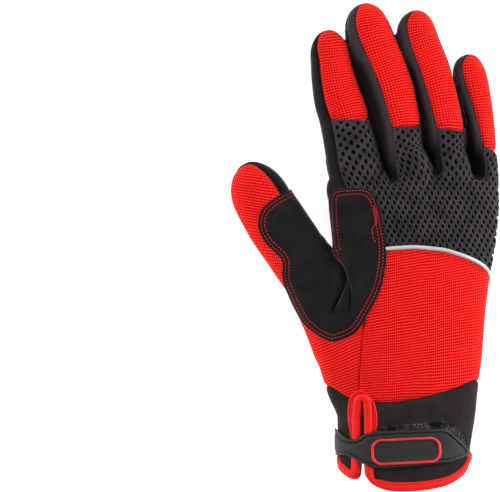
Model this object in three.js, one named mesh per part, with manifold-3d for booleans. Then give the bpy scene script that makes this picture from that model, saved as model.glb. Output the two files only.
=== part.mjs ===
// Construction glove for the right hand, lying palm down. Millimetres, +Z up, fingers along +Y, thumb
// towards -X.
import * as THREE from 'three';
import { mergeVertices } from 'three/addons/utils/BufferGeometryUtils.js';
import Module from 'manifold-3d';

const wasm = await Module();
wasm.setup();

// Driving sizes
const GLOVE_LENGTH = 250;
const PALM_WIDTH = 88;
const PALM_DEPTH = 36;
const FINGER_WIDTH = { index: 23.2, middle: 24.4, ring: 20.8, little: 17 };
const FINGER_DEPTH = { index: 20, middle: 21, ring: 19.4, little: 17 };
const THUMB_WIDTH = 31;
const THUMB_DEPTH = 25;

// Cloth, leather and trim
const CLOTH_WALL = 1.6;
const NEOPRENE_WALL = 2.5;
const PAD_THICKNESS = 1.9;
const PAD_MARGIN = 2;
const PATCH_THICKNESS = 1.2;
const PIPING_WIDTH = 2.2;
const PIPING_PROUD = 0.9;
const BINDING_WIDTH = 5;
const BINDING_PROUD = 1;
const BINDING_TAPE = 1.3;
const LOOP_THICKNESS = 1.2;
const STRAP_THICKNESS = 2;
const BADGE_LENGTH = 34;
const BADGE_WIDTH = 13.4;
const BADGE_RIM = 1.2;
const BADGE_PROUD = 0.8;
const BADGE_TURN = 3;
const BADGE_ROUNDNESS = 0.8;
const SLIT_GAP = 1.8;
const CROTCH_BLOCK = 9;
const CROTCH_BLOCK_AHEAD = 0.6;

// Fit and fineness
const GAP = 0.3;
const PALM_SIDES = 24;
const PALM_INNER_SIDES = 16;
const FINGER_SIDES = 12;
const FINGER_INNER_SIDES = 8;
const FINGER_STATIONS = 5;
const WEDGE_STATIONS = 4;
const WEDGE_STEPS = 3;
const WEDGE_START = 0.02;
const WEDGE_REACH = 4;
const SEAM_STEPS = 8;
const OVER_THE_BACK = 100;
const CROTCH_ALONG = 0.6;
const TIP_REACH = 0.45;
const TIP_ANGLES = [0, 38, 68];
const PALM_SQUARENESS = 2.4;
const FINGER_SQUARENESS = 2.15;
const SPLIT_HEIGHT = PALM_DEPTH / 2;
const OUTLINE_STEP = 9;
const FAR = 2 * GLOVE_LENGTH;

const DEGREE = Math.PI / 180;

// Colours of the photograph
const KNIT_RED = new THREE.MeshStandardMaterial({ color: 0xf02818, roughness: 0.85, metalness: 0 });
const LEATHER_BLACK = new THREE.MeshStandardMaterial({ color: 0x2b292a, roughness: 0.9, metalness: 0 });
const MESH_BLACK = new THREE.MeshStandardMaterial({ color: 0x3a383a, roughness: 0.8, metalness: 0 });
const STRETCH_DARK = new THREE.MeshStandardMaterial({ color: 0x3c3237, roughness: 0.75, metalness: 0 });
const NEOPRENE_BLACK = new THREE.MeshStandardMaterial({ color: 0x282524, roughness: 0.9, metalness: 0 });
const RUBBER_GREY = new THREE.MeshStandardMaterial({ color: 0x3c3c40, roughness: 0.55, metalness: 0 });
const TAPE_RED = new THREE.MeshStandardMaterial({ color: 0xf5281e, roughness: 0.7, metalness: 0 });
const PIPING_SILVER = new THREE.MeshStandardMaterial({ color: 0xc8c8ca, roughness: 0.4, metalness: 0.3 });
const LOOP_BLACK = new THREE.MeshStandardMaterial({ color: 0x232223, roughness: 0.95, metalness: 0 });

// Sections of the hand and cuff: along is a share of the glove's length, left and right of the palm's width from
// its middle line, low and high of the palm's depth.
const HAND_SECTIONS = [
  { along: -0.01, left: -0.42, right: 0.333, low: 0.02, high: 0.96 },
  { along: 0.084, left: -0.45, right: 0.33, low: 0.02, high: 0.98 },
  { along: 0.156, left: -0.438, right: 0.36, low: 0.03, high: 1.0 },
  { along: 0.184, left: -0.458, right: 0.368, low: 0.04, high: 1.01 },
  { along: 0.208, left: -0.508, right: 0.376, low: 0.05, high: 1.03 },
  { along: 0.274, left: -0.56, right: 0.397, low: 0.05, high: 1.05 },
  { along: 0.368, left: -0.545, right: 0.417, low: 0.05, high: 1.06 },
  { along: 0.446, left: -0.51, right: 0.447, low: 0.05, high: 1.05 },
  { along: 0.5, left: -0.485, right: 0.476, low: 0.05, high: 1.02 },
  { along: 0.572, left: -0.489, right: 0.497, low: 0.06, high: 0.97 },
  { along: 0.61, left: -0.492, right: 0.497, low: 0.09, high: 0.92 },
  { along: 0.628, left: -0.47, right: 0.48, low: 0.15, high: 0.84 },
];

const HAND_END = HAND_SECTIONS[HAND_SECTIONS.length - 1].along;

// Middle lines of the fingers: across, along and up are shares of the palm's width, the glove's length and the
// palm's depth; wide and deep are shares of the finger's own width and depth. The last row is the tip.
const FINGER_PATHS = {
  index: [
    { across: -0.28, along: 0.53, up: 0.52, wide: 1.0, deep: 1.3 },
    { across: -0.312, along: 0.644, up: 0.48, wide: 1.02, deep: 1.22 },
    { across: -0.394, along: 0.757, up: 0.35, wide: 1.0, deep: 1.05 },
    { across: -0.474, along: 0.872, up: 0.27, wide: 0.95, deep: 0.98 },
    { across: -0.506, along: 0.944, up: 0.255, wide: 0.92, deep: 0.94 },
  ],
  middle: [
    { across: 0.06, along: 0.53, up: 0.55, wide: 0.96, deep: 1.25 },
    { across: 0.026, along: 0.644, up: 0.52, wide: 1.0, deep: 1.2 },
    { across: -0.094, along: 0.743, up: 0.4, wide: 1.0, deep: 1.05 },
    { across: -0.197, along: 0.872, up: 0.285, wide: 0.99, deep: 0.98 },
    { across: -0.25, along: 0.999, up: 0.265, wide: 0.95, deep: 0.94 },
  ],
  ring: [
    { across: 0.25, along: 0.53, up: 0.53, wide: 0.98, deep: 1.25 },
    { across: 0.266, along: 0.65, up: 0.5, wide: 1.0, deep: 1.2 },
    { across: 0.169, along: 0.74, up: 0.4, wide: 1.0, deep: 1.05 },
    { across: 0.091, along: 0.872, up: 0.28, wide: 1.0, deep: 0.98 },
    { across: 0.036, along: 0.984, up: 0.255, wide: 0.95, deep: 0.94 },
  ],
  little: [
    { across: 0.385, along: 0.53, up: 0.42, wide: 1.0, deep: 1.25 },
    { across: 0.416, along: 0.62, up: 0.4, wide: 1.0, deep: 1.2 },
    { across: 0.415, along: 0.7, up: 0.33, wide: 1.0, deep: 1.05 },
    { across: 0.373, along: 0.798, up: 0.245, wide: 1.0, deep: 0.98 },
    { across: 0.343, along: 0.894, up: 0.235, wide: 0.95, deep: 0.94 },
  ],
};
const THUMB_PATH = [
  { across: -0.33, along: 0.24, up: 0.5, wide: 1.02, deep: 1.2 },
  { across: -0.384, along: 0.294, up: 0.5, wide: 1.12, deep: 1.22 },
  { across: -0.473, along: 0.375, up: 0.48, wide: 1.14, deep: 1.2 },
  { across: -0.576, along: 0.438, up: 0.45, wide: 1.05, deep: 1.12 },
  { across: -0.699, along: 0.497, up: 0.41, wide: 1.02, deep: 1.03 },
  { across: -0.794, along: 0.546, up: 0.37, wide: 1.0, deep: 1.0 },
  { across: -0.874, along: 0.596, up: 0.345, wide: 0.94, deep: 0.98 },
  { across: -0.955, along: 0.674, up: 0.33, wide: 0.9, deep: 0.94 },
];

// Where each finger's back starts and ends round its section, in degrees from its little-finger side, and the
// share of the glove's length where the back's hem lies.
const FINGER_BACKS = {
  index: { from: 2, to: 126, hem: 0.757 },
  middle: { from: 2, to: 104, hem: 0.742 },
  ring: { from: 2, to: 104, hem: 0.738 },
  little: { from: -40, to: 98, hem: 0.706 },
};
const PALM_SIDE_FROM = 195;
const PALM_SIDE_TO = 300;

// The seam that joins the back of the hand to the palm at the little-finger side, in degrees below the side.
const OUTER_SEAM = [
  { along: 0.15, angle: -42 },
  { along: 0.204, angle: -40 },
  { along: 0.264, angle: -32 },
  { along: 0.312, angle: -26 },
  { along: 0.414, angle: -22 },
  { along: 0.66, angle: -24 },
];

// The piping's line over the back of the hand and down its side.
const PIPING_LINE = [
  { angle: 150, along: 0.485 },
  { angle: 112, along: 0.4916 },
  { angle: 91, along: 0.496 },
  { angle: 73, along: 0.49 },
  { angle: 53, along: 0.475 },
  { angle: 35, along: 0.461 },
  { angle: 13, along: 0.442 },
  { angle: -5, along: 0.42 },
  { angle: -20, along: 0.395 },
  { angle: -34, along: 0.37 },
];
const PIPING_START = 108;

// Outlines seen from above. across is a share of the palm's width from its middle line, along of the glove's
// length. A row with a corner breaks the smooth line.
const THUMB_OUTLINE = [
  { across: -0.486, along: 0.494, corner: true },
  { across: -0.56, along: 0.6, corner: true },
  { across: -0.6, along: 0.76, corner: true },
  { across: -1.4, along: 0.76, corner: true },
  { across: -1.4, along: 0.388, corner: true },
  { across: -0.725, along: 0.402, corner: true },
];
const THUMB_BACK_OUTLINE = [
  { across: -1.4, along: 0.38, corner: true },
  { across: -0.725, along: 0.38, corner: true },
  { across: -0.515, along: 0.48, corner: true },
  { across: -0.651, along: 0.548 },
  { across: -0.757, along: 0.604 },
  { across: -0.856, along: 0.644 },
  { across: -0.939, along: 0.664 },
  { across: -1.0, along: 0.666 },
  { across: -1.045, along: 0.652 },
  { across: -1.4, along: 0.64, corner: true },
];
const RED_SIDE_OUTLINE = [
  { across: -0.395, along: 0.19, corner: true },
  { across: -0.452, along: 0.266 },
  { across: -0.515, along: 0.312 },
  { across: -0.589, along: 0.353 },
  { across: -0.64, along: 0.39 },
  { across: -0.697, along: 0.428 },
  { across: -0.776, along: 0.473 },
  { across: -0.89, along: 0.537 },
  { across: -0.945, along: 0.58 },
  { across: -0.985, along: 0.625 },
  { across: -1.03, along: 0.64 },
  { across: -1.4, along: 0.64, corner: true },
  { across: -1.4, along: 0.19, corner: true },
];
const BACK_SEAM = [
  { across: -0.262, along: 0.51, corner: true },
  { across: -0.285, along: 0.356, corner: true },
  { across: -0.316, along: 0.208, corner: true },
  { across: -0.32, along: 0.15, corner: true },
  { across: -1.4, along: 0.15, corner: true },
  { across: -1.4, along: 0.51, corner: true },
];
const MESH_EDGE = -0.465;
const MESH_END = 0.632;
const CUFF_SEAM_BACK = [
  { across: -0.96, along: 0.216 },
  { across: -0.508, along: 0.21 },
  { across: -0.37, along: 0.184 },
  { across: -0.225, along: 0.177 },
  { across: -0.11, along: 0.177 },
  { across: 0.073, along: 0.187 },
  { across: 0.258, along: 0.205 },
  { across: 0.376, along: 0.215 },
  { across: 0.96, along: 0.216 },
];
const CUFF_SEAM_PALM = [
  { across: -0.96, along: 0.216 },
  { across: -0.508, along: 0.213 },
  { across: -0.397, along: 0.221 },
  { across: -0.274, along: 0.218 },
  { across: -0.133, along: 0.208 },
  { across: 0.005, along: 0.198 },
  { across: 0.153, along: 0.194 },
  { across: 0.285, along: 0.2 },
  { across: 0.376, along: 0.214 },
  { across: 0.96, along: 0.216 },
];
const MOUTH_EDGE = [
  { across: -0.8, along: 0.075 },
  { across: -0.458, along: 0.058 },
  { across: -0.424, along: 0.038 },
  { across: -0.367, along: 0.022 },
  { across: -0.276, along: 0.01 },
  { across: -0.14, along: 0.0 },
  { across: 0.065, along: 0.002 },
  { across: 0.2125, along: 0.014 },
  { across: 0.292, along: 0.034 },
  { across: 0.332, along: 0.058 },
  { across: 0.7, along: 0.075 },
];
const SADDLE_OUTLINE = [
  { across: -0.465, along: 0.605, corner: true },
  { across: -0.372, along: 0.613 },
  { across: -0.286, along: 0.613 },
  { across: -0.238, along: 0.603 },
  { across: -0.208, along: 0.578 },
  { across: -0.184, along: 0.543 },
  { across: -0.167, along: 0.504 },
  { across: -0.167, along: 0.473 },
  { across: -0.178, along: 0.444 },
  { across: -0.205, along: 0.405 },
  { across: -0.272, along: 0.366 },
  { across: -0.342, along: 0.327 },
  { across: -0.43, along: 0.311 },
  { across: -0.483, along: 0.306 },
  { across: -0.558, along: 0.317 },
  { across: -0.634, along: 0.34 },
  { across: -0.681, along: 0.368 },
  { across: -0.722, along: 0.399 },
  { across: -0.757, along: 0.43 },
  { across: -0.757, along: 0.47, corner: true },
  { across: -0.795, along: 0.48 },
  { across: -0.851, along: 0.501 },
  { across: -0.898, along: 0.535 },
  { across: -0.88, along: 0.566 },
  { across: -0.816, along: 0.588 },
  { across: -0.705, along: 0.612, corner: true },
  { across: -0.594, along: 0.604, corner: true },
  { across: -0.515, along: 0.532, corner: true },
  { across: -0.483, along: 0.496, corner: true },
  { across: -0.462, along: 0.514 },
];
// Stitch lines of the three palm pads, whose edges lie one margin outside them.
const FINGER_PAD_OUTLINE = [
  { across: 0.4, along: 0.556 },
  { across: 0.406, along: 0.596 },
  { across: 0.406, along: 0.632 },
  { across: 0.377, along: 0.648 },
  { across: 0.343, along: 0.636 },
  { across: 0.326, along: 0.616 },
  { across: 0.292, along: 0.608 },
  { across: 0.256, along: 0.62 },
  { across: 0.247, along: 0.652 },
  { across: 0.224, along: 0.678 },
  { across: 0.19, along: 0.678 },
  { across: 0.167, along: 0.648 },
  { across: 0.144, along: 0.622 },
  { across: 0.099, along: 0.612 },
  { across: 0.053, along: 0.622 },
  { across: 0.031, along: 0.65 },
  { across: -0.003, along: 0.684 },
  { across: -0.055, along: 0.688 },
  { across: -0.083, along: 0.66 },
  { across: -0.106, along: 0.616 },
  { across: -0.151, along: 0.598 },
  { across: -0.231, along: 0.598 },
  { across: -0.276, along: 0.616 },
  { across: -0.31, along: 0.66 },
  { across: -0.344, along: 0.69 },
  { across: -0.47, along: 0.69, corner: true },
  { across: -0.5, along: 0.62, corner: true },
  { across: -0.5, along: 0.541, corner: true },
  { across: 0.2, along: 0.4946 },
  { across: 0.28, along: 0.492 },
  { across: 0.362, along: 0.512 },
];
const HEEL_PAD_OUTLINE = [
  { across: 0.312, along: 0.456 },
  { across: 0.201, along: 0.464 },
  { across: -0.12, along: 0.484 },
  { across: -0.157, along: 0.472 },
  { across: -0.205, along: 0.432 },
  { across: -0.205, along: 0.419 },
  { across: -0.074, along: 0.379 },
  { across: -0.017, along: 0.347 },
  { across: 0.01, along: 0.29 },
  { across: 0.014, along: 0.232, corner: true },
  { across: 0.178, along: 0.226 },
  { across: 0.2125, along: 0.244 },
  { across: 0.261, along: 0.324 },
  { across: 0.309, along: 0.398 },
  { across: 0.332, along: 0.44 },
];
const THENAR_PAD_OUTLINE = [
  { across: -0.235, along: 0.502, corner: true },
  { across: -0.253, along: 0.471 },
  { across: -0.294, along: 0.431 },
  { across: -0.283, along: 0.404 },
  { across: -0.151, along: 0.347 },
  { across: -0.133, along: 0.318 },
  { across: -0.133, along: 0.263 },
  { across: -0.169, along: 0.242 },
  { across: -0.294, along: 0.248 },
  { across: -0.342, along: 0.263 },
  { across: -0.48, along: 0.334 },
  { across: -0.585, along: 0.382 },
  { across: -0.6, along: 0.416 },
  { across: -0.565, along: 0.446 },
  { across: -0.51, along: 0.474 },
  { across: -0.47, along: 0.496 },
  { across: -0.445, along: 0.514 },
];
const SLIT_PATH = [
  { across: -0.301, along: 0.168, wide: 0.4 },
  { across: -0.301, along: 0.16, wide: 1 },
  { across: -0.301, along: 0.05, wide: 1 },
  { across: -0.3, along: 0.036, wide: 2.2 },
  { across: -0.297, along: 0.022, wide: 5 },
  { across: -0.295, along: 0.008, wide: 12 },
  { across: -0.293, along: -0.03, wide: 34 },
];
const SLIT_BINDING_OUTLINE = [
  { across: -0.355, along: 0.046, corner: true },
  { across: -0.367, along: 0.107 },
  { across: -0.388, along: 0.15 },
  { across: -0.382, along: 0.183 },
  { across: -0.355, along: 0.2 },
  { across: -0.319, along: 0.206 },
  { across: -0.276, along: 0.2 },
  { across: -0.236, along: 0.184 },
  { across: -0.214, along: 0.156 },
  { across: -0.226, along: 0.112 },
  { across: -0.248, along: 0.046, corner: true },
];
const LOOP_PATCH_OUTLINE = [
  { across: -0.2, along: 0.122, corner: true },
  { across: 0.166, along: 0.1345, corner: true },
  { across: 0.207, along: 0.1335 },
  { across: 0.29, along: 0.106, corner: true },
  { across: 0.288, along: 0.07, corner: true },
  { across: 0.06, along: 0.056, corner: true },
  { across: -0.218, along: 0.056, corner: true },
];
const STRAP_OUTLINE = [
  { across: -0.7, along: 0.134, corner: true },
  { across: -0.44, along: 0.134, corner: true },
  { across: -0.389, along: 0.11 },
  { across: -0.342, along: 0.101 },
  { across: -0.307, along: 0.103 },
  { across: -0.272, along: 0.1125 },
  { across: 0.15, along: 0.124, corner: true },
  { across: 0.19, along: 0.122 },
  { across: 0.3, along: 0.084 },
  { across: 0.307, along: 0.07 },
  { across: 0.2125, along: 0.054, corner: true },
  { across: -0.085, along: 0.043 },
  { across: -0.243, along: 0.045 },
  { across: -0.372, along: 0.068 },
  { across: -0.44, along: 0.068, corner: true },
  { across: -0.7, along: 0.066, corner: true },
];
const BADGE_PLACE = { across: -0.039, along: 0.078 };

// Places in the shares above
const place = (row) => new THREE.Vector2(row.across * PALM_WIDTH, row.along * GLOVE_LENGTH);

// A line through rows of an outline, smooth except at its corners.
function smoothLine(rows, closed, step = OUTLINE_STEP) {
  const points = rows.map(place);
  const corner = rows.map((row) => row.corner === true);
  const count = points.length;
  const runs = closed ? count : count - 1;
  const line = [];
  for (let i = 0; i < runs; i += 1) {
    const a = points[i];
    const b = points[(i + 1) % count];
    const before = corner[i] || (!closed && i === 0) ? a.clone().multiplyScalar(2).sub(b)
      : points[(i - 1 + count) % count];
    const last = corner[(i + 1) % count] || (!closed && i === runs - 1);
    const after = last ? b.clone().multiplyScalar(2).sub(a) : points[(i + 2) % count];
    const straight = corner[i] && corner[(i + 1) % count];
    const pieces = straight ? 1 : Math.max(1, Math.round(a.distanceTo(b) / step));
    const curve = new THREE.CatmullRomCurve3(
      [before, a, b, after].map((p) => new THREE.Vector3(p.x, p.y, 0)), false, 'centripetal');
    for (let k = 0; k < pieces; k += 1) {
      const p = curve.getPoint((1 + k / pieces) / 3);
      line.push(new THREE.Vector2(p.x, p.y));
    }
  }
  if (!closed) {
    line.push(points[count - 1]);
  }
  return line;
}

// The same outline moved outwards by a distance.
function grown(line, distance) {
  const turn = THREE.ShapeUtils.isClockWise(line) ? -1 : 1;
  return line.map((point, i) => {
    const before = line[(i - 1 + line.length) % line.length];
    const after = line[(i + 1) % line.length];
    const first = point.clone().sub(before).normalize();
    const second = after.clone().sub(point).normalize();
    const way = first.clone().add(second).normalize();
    const reach = distance / Math.max(0.5, way.dot(second));
    return new THREE.Vector2(point.x + turn * way.y * reach, point.y - turn * way.x * reach);
  });
}

// Solids
function solid(geometry) {
  const bare = geometry.index ? geometry.clone() : geometry;
  bare.deleteAttribute('normal');
  bare.deleteAttribute('uv');
  const merged = mergeVertices(bare, 1e-4);
  const vertProperties = Float32Array.from(merged.attributes.position.array);
  const triVerts = Uint32Array.from(merged.index.array);
  let body = new wasm.Manifold(new wasm.Mesh({ numProp: 3, vertProperties, triVerts }));
  if (body.volume() < 0) {
    const turned = triVerts.map((v, i) => (i % 3 === 0 ? v : triVerts[i % 3 === 1 ? i + 1 : i - 1]));
    body = new wasm.Manifold(new wasm.Mesh({ numProp: 3, vertProperties, triVerts: turned }));
  }
  return body;
}

// The largest body of a cut, without the slivers beside it.
function mainBody(body) {
  const bodies = body.decompose();
  return bodies.reduce((best, one) => (one.volume() > best.volume() ? one : best));
}

const joined = (bodies) => bodies.reduce((all, one) => all.add(one));

// A closed skin over rings of equal length, with flat ends.
function loft(rings) {
  const sides = rings[0].length;
  const positions = rings.flat().flatMap((p) => [p.x, p.y, p.z]);
  const index = [];
  for (let r = 0; r < rings.length - 1; r += 1) {
    for (let s = 0; s < sides; s += 1) {
      const a = r * sides + s;
      const b = r * sides + ((s + 1) % sides);
      index.push(a, b, b + sides, a, b + sides, a + sides);
    }
  }
  const top = (rings.length - 1) * sides;
  for (let s = 1; s < sides - 1; s += 1) {
    index.push(0, s + 1, s, top, top + s, top + s + 1);
  }
  const geometry = new THREE.BufferGeometry();
  geometry.setAttribute('position', new THREE.Float32BufferAttribute(positions, 3));
  geometry.setIndex(index);
  return solid(geometry);
}

function prism(line, low = -FAR, high = FAR) {
  const geometry = new THREE.ExtrudeGeometry(new THREE.Shape(line), {
    depth: high - low, bevelEnabled: false, curveSegments: 1 });
  geometry.translate(0, 0, low);
  return solid(geometry);
}

const block = (width, length, height, x, y, z) =>
  solid(new THREE.BoxGeometry(width, length, height).translate(x, y, z));

const upperHalf = block(2 * FAR, 2 * FAR, FAR, 0, 0, SPLIT_HEIGHT + FAR / 2);
const aboveFloor = block(2 * FAR, 2 * FAR, FAR, 0, 0, FAR / 2);

// Sections of the forms: each has a middle, two directions and two half sizes.
function sectionPoint(section, degrees, grow, squareness) {
  const c = Math.cos(degrees * DEGREE);
  const s = Math.sin(degrees * DEGREE);
  const x = Math.sign(c) * Math.abs(c) ** (2 / squareness) * (section.halfWidth + grow);
  const z = Math.sign(s) * Math.abs(s) ** (2 / squareness) * (section.halfDepth + grow);
  return section.middle.clone().addScaledVector(section.across, x).addScaledVector(section.up, z);
}

function mix(rows, key, at, value) {
  let i = 0;
  while (i < rows.length - 2 && rows[i + 1][key] < at) {
    i += 1;
  }
  const share = (at - rows[i][key]) / (rows[i + 1][key] - rows[i][key]);
  return THREE.MathUtils.lerp(rows[i][value], rows[i + 1][value], share);
}

function handSection(along) {
  const get = (value) => mix(HAND_SECTIONS, 'along', along, value);
  const left = get('left') * PALM_WIDTH;
  const right = get('right') * PALM_WIDTH;
  const low = get('low') * PALM_DEPTH;
  const high = get('high') * PALM_DEPTH;
  return {
    middle: new THREE.Vector3((left + right) / 2, along * GLOVE_LENGTH, (low + high) / 2),
    across: new THREE.Vector3(1, 0, 0),
    up: new THREE.Vector3(0, 0, 1),
    halfWidth: (right - left) / 2,
    halfDepth: (high - low) / 2,
  };
}

function ringOf(section, grow, sides, squareness) {
  return Array.from({ length: sides }, (_, s) =>
    sectionPoint(section, (360 * s) / sides, grow, squareness));
}

function handForm(grow) {
  const sides = grow < 0 ? PALM_INNER_SIDES : PALM_SIDES;
  return loft(HAND_SECTIONS.map((row) => ringOf(handSection(row.along), grow, sides, PALM_SQUARENESS)));
}

// A finger's form: its path, and its section at a share of the path.
function fingerPath(rows, width, depth) {
  const points = rows.map((row) =>
    new THREE.Vector3(row.across * PALM_WIDTH, row.along * GLOVE_LENGTH, row.up * PALM_DEPTH));
  const curve = new THREE.CatmullRomCurve3(points, false, 'centripetal');
  const length = curve.getLength();
  const capShare = (TIP_REACH * width) / length;
  const section = (share) => {
    const u = Math.min(1, Math.max(0, share));
    const t = curve.getUtoTmapping(u);
    const tangent = curve.getTangent(t);
    const across = new THREE.Vector3(tangent.y, -tangent.x, 0).normalize();
    const up = across.clone().cross(tangent);
    const row = t * (rows.length - 1);
    const i = Math.min(rows.length - 2, Math.floor(row));
    const wide = THREE.MathUtils.lerp(rows[i].wide, rows[i + 1].wide, row - i);
    const deep = THREE.MathUtils.lerp(rows[i].deep, rows[i + 1].deep, row - i);
    const middle = curve.getPoint(t).addScaledVector(tangent, (share - u) * length);
    return { middle, across, up, halfWidth: (wide * width) / 2, halfDepth: (deep * depth) / 2, tangent };
  };
  return { section, length, capShare };
}

function fingerForm(path, grow) {
  const body = 1 - path.capShare;
  const sides = grow < 0 ? FINGER_INNER_SIDES : FINGER_SIDES;
  const rings = [];
  for (let i = 0; i < FINGER_STATIONS; i += 1) {
    rings.push(ringOf(path.section((body * i) / FINGER_STATIONS), grow, sides, FINGER_SQUARENESS));
  }
  for (const angle of TIP_ANGLES) {
    const reach = path.capShare + grow / path.length;
    const section = path.section(body + reach * Math.sin(angle * DEGREE));
    const size = Math.cos(angle * DEGREE);
    section.halfWidth = (section.halfWidth + grow) * size;
    section.halfDepth = (section.halfDepth + grow) * size;
    rings.push(ringOf(section, 0, sides, FINGER_SQUARENESS));
  }
  return loft(rings);
}

const fingers = {};
for (const name of Object.keys(FINGER_PATHS)) {
  fingers[name] = fingerPath(FINGER_PATHS[name], FINGER_WIDTH[name], FINGER_DEPTH[name]);
}
const thumb = fingerPath(THUMB_PATH, THUMB_WIDTH, THUMB_DEPTH);

// The whole glove's form, grown outwards or inwards.
function gloveForm(grow) {
  const parts = Object.values(fingers).map((path) => fingerForm(path, grow));
  return joined([handForm(grow), fingerForm(thumb, grow), ...parts]);
}

// A wedge round a finger's path between two angles, out to just past its skin.
function fingerWedge(path, from, to, startAlong) {
  const rings = [];
  for (let i = 0; i <= WEDGE_STATIONS + 1; i += 1) {
    const share = i > WEDGE_STATIONS ? 1 + WEDGE_REACH / path.length : i / WEDGE_STATIONS;
    const section = path.section(Math.max(WEDGE_START, share));
    const ring = [section.middle];
    for (let k = 0; k <= WEDGE_STEPS; k += 1) {
      const angle = from + ((to - from) * k) / WEDGE_STEPS;
      ring.push(sectionPoint(section, angle, WEDGE_REACH, FINGER_SQUARENESS));
    }
    rings.push(ring);
  }
  const wedge = loft(rings);
  const start = startAlong * GLOVE_LENGTH;
  return wedge.intersect(block(2 * FAR, FAR, 2 * FAR, 0, start + FAR / 2, 0));
}

// The part of the hand that lies above its outer seam at the little-finger side.
function aboveOuterSeam(gap) {
  const gapAngle = (gap / (PALM_DEPTH / 2)) / DEGREE;
  const rings = OUTER_SEAM.map((row) => {
    const section = handSection(Math.min(row.along, HAND_END));
    section.middle.y = row.along * GLOVE_LENGTH;
    const ring = [section.middle];
    for (let k = 0; k <= SEAM_STEPS; k += 1) {
      const angle = THREE.MathUtils.lerp(row.angle - gapAngle, OVER_THE_BACK, k / SEAM_STEPS);
      ring.push(sectionPoint(section, angle, PALM_DEPTH / 2, PALM_SQUARENESS));
    }
    return ring;
  });
  return loft(rings);
}

// The part of the hand on the fingers' side of the piping line, moved by a distance along the hand.
function beyondPiping(shift) {
  const rings = PIPING_LINE.map((row) => {
    const section = handSection(row.along);
    const inner = section.middle.clone();
    const outer = sectionPoint(section, row.angle, PALM_DEPTH / 2, PALM_SQUARENESS);
    const ahead = new THREE.Vector3(0, GLOVE_LENGTH / 2, 0);
    inner.y += shift;
    outer.y += shift;
    return [inner, outer, outer.clone().add(ahead), inner.clone().add(ahead)];
  });
  return loft(rings);
}

// The piping's own band along its line.
function pipingBand(width) {
  const rows = PIPING_LINE.filter((row) => row.angle < PIPING_START);
  const first = { angle: PIPING_START, along: mix([...PIPING_LINE].reverse(), 'angle', PIPING_START, 'along') };
  const line = [first, ...rows];
  const points = line.map((row) => sectionPoint(handSection(row.along), row.angle, 0, PALM_SQUARENESS));
  const rings = line.map((row, i) => {
    const section = handSection(row.along);
    const outward = sectionPoint(section, row.angle, 1, PALM_SQUARENESS).sub(points[i]).normalize();
    const way = points[Math.min(i + 1, points.length - 1)].clone().sub(points[Math.max(i - 1, 0)]).normalize();
    const side = way.clone().cross(outward).normalize();
    const corner = (s, o) => points[i].clone().addScaledVector(side, (s * width) / 2).addScaledVector(outward, o);
    const deep = 2 * CLOTH_WALL;
    return [corner(-1, -deep), corner(1, -deep), corner(1, deep), corner(-1, deep)];
  });
  return loft(rings);
}

// Regions seen from above, over the back or under the palm
const overBack = (line) => prism(line, SPLIT_HEIGHT);
const underPalm = (line) => prism(line, -FAR, SPLIT_HEIGHT);
const closedLine = (rows, grow = 0) => grown(smoothLine(rows, true), grow);

// The side of an open line that faces the fingers, moved along the hand by a distance.
function fingerSideOf(rows, shift) {
  const line = smoothLine(rows, false, 2 * OUTLINE_STEP).map((p) => new THREE.Vector2(p.x, p.y + shift));
  line.push(new THREE.Vector2(FAR, line[line.length - 1].y));
  line.push(new THREE.Vector2(FAR, FAR), new THREE.Vector2(-FAR, FAR));
  line.push(new THREE.Vector2(-FAR, line[0].y));
  return line;
}

const beyondCuffSeam = (shift) => overBack(fingerSideOf(CUFF_SEAM_BACK, shift))
  .add(underPalm(fingerSideOf(CUFF_SEAM_PALM, shift)));

// Layers between two growths of the glove's form
const outerForm = gloveForm(0).intersect(aboveFloor);
const innerForm = gloveForm(-CLOTH_WALL);
const skin = outerForm.subtract(innerForm);

const thumbRegion = (grow) => prism(closedLine(THUMB_OUTLINE, grow));
const redSideUnder = (grow) => underPalm(closedLine(RED_SIDE_OUTLINE, grow));
const thumbBackRegion = (grow) => overBack(closedLine(THUMB_BACK_OUTLINE, grow)).add(redSideUnder(grow));
const handBackTop = (grow) => {
  const edge = MESH_EDGE * PALM_WIDTH - grow;
  const end = MESH_END * GLOVE_LENGTH + grow;
  return block(FAR, FAR, FAR, edge + FAR / 2, end - FAR / 2, SPLIT_HEIGHT + FAR / 2);
};

const order = ['index', 'middle', 'ring', 'little'];

// The block at the fork between two fingers
function crotchBlock(first, second, grow) {
  const a = fingers[first].section(0.25).middle;
  const b = fingers[second].section(0.25).middle;
  const middle = a.clone().add(b).multiplyScalar(0.5);
  const size = CROTCH_BLOCK + 2 * grow;
  const ahead = MESH_END * GLOVE_LENGTH + CROTCH_BLOCK_AHEAD * size;
  return block(size, 2 * size, 1.8 * size, middle.x, ahead, middle.z);
}

function fingerBackWedge(name, grow, start) {
  const path = fingers[name];
  const extra = (grow / (FINGER_WIDTH[name] / 2)) / DEGREE;
  const row = FINGER_BACKS[name];
  return fingerWedge(path, row.from - extra, row.to + extra, start);
}

function forkRegion(first, second, grow) {
  const extra = (name) => (grow / (FINGER_WIDTH[name] / 2)) / DEGREE;
  const right = fingerWedge(fingers[first], PALM_SIDE_TO - 360 - extra(first),
    FINGER_BACKS[first].from - extra(first), CROTCH_ALONG);
  const left = fingerWedge(fingers[second], FINGER_BACKS[second].to + extra(second),
    PALM_SIDE_FROM + extra(second), CROTCH_ALONG);
  return joined([right, left, crotchBlock(first, second, grow)]);
}

// Pieces
const pieces = [];
const add = (name, body, material) => pieces.push({ name, body: mainBody(body), material });

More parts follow.
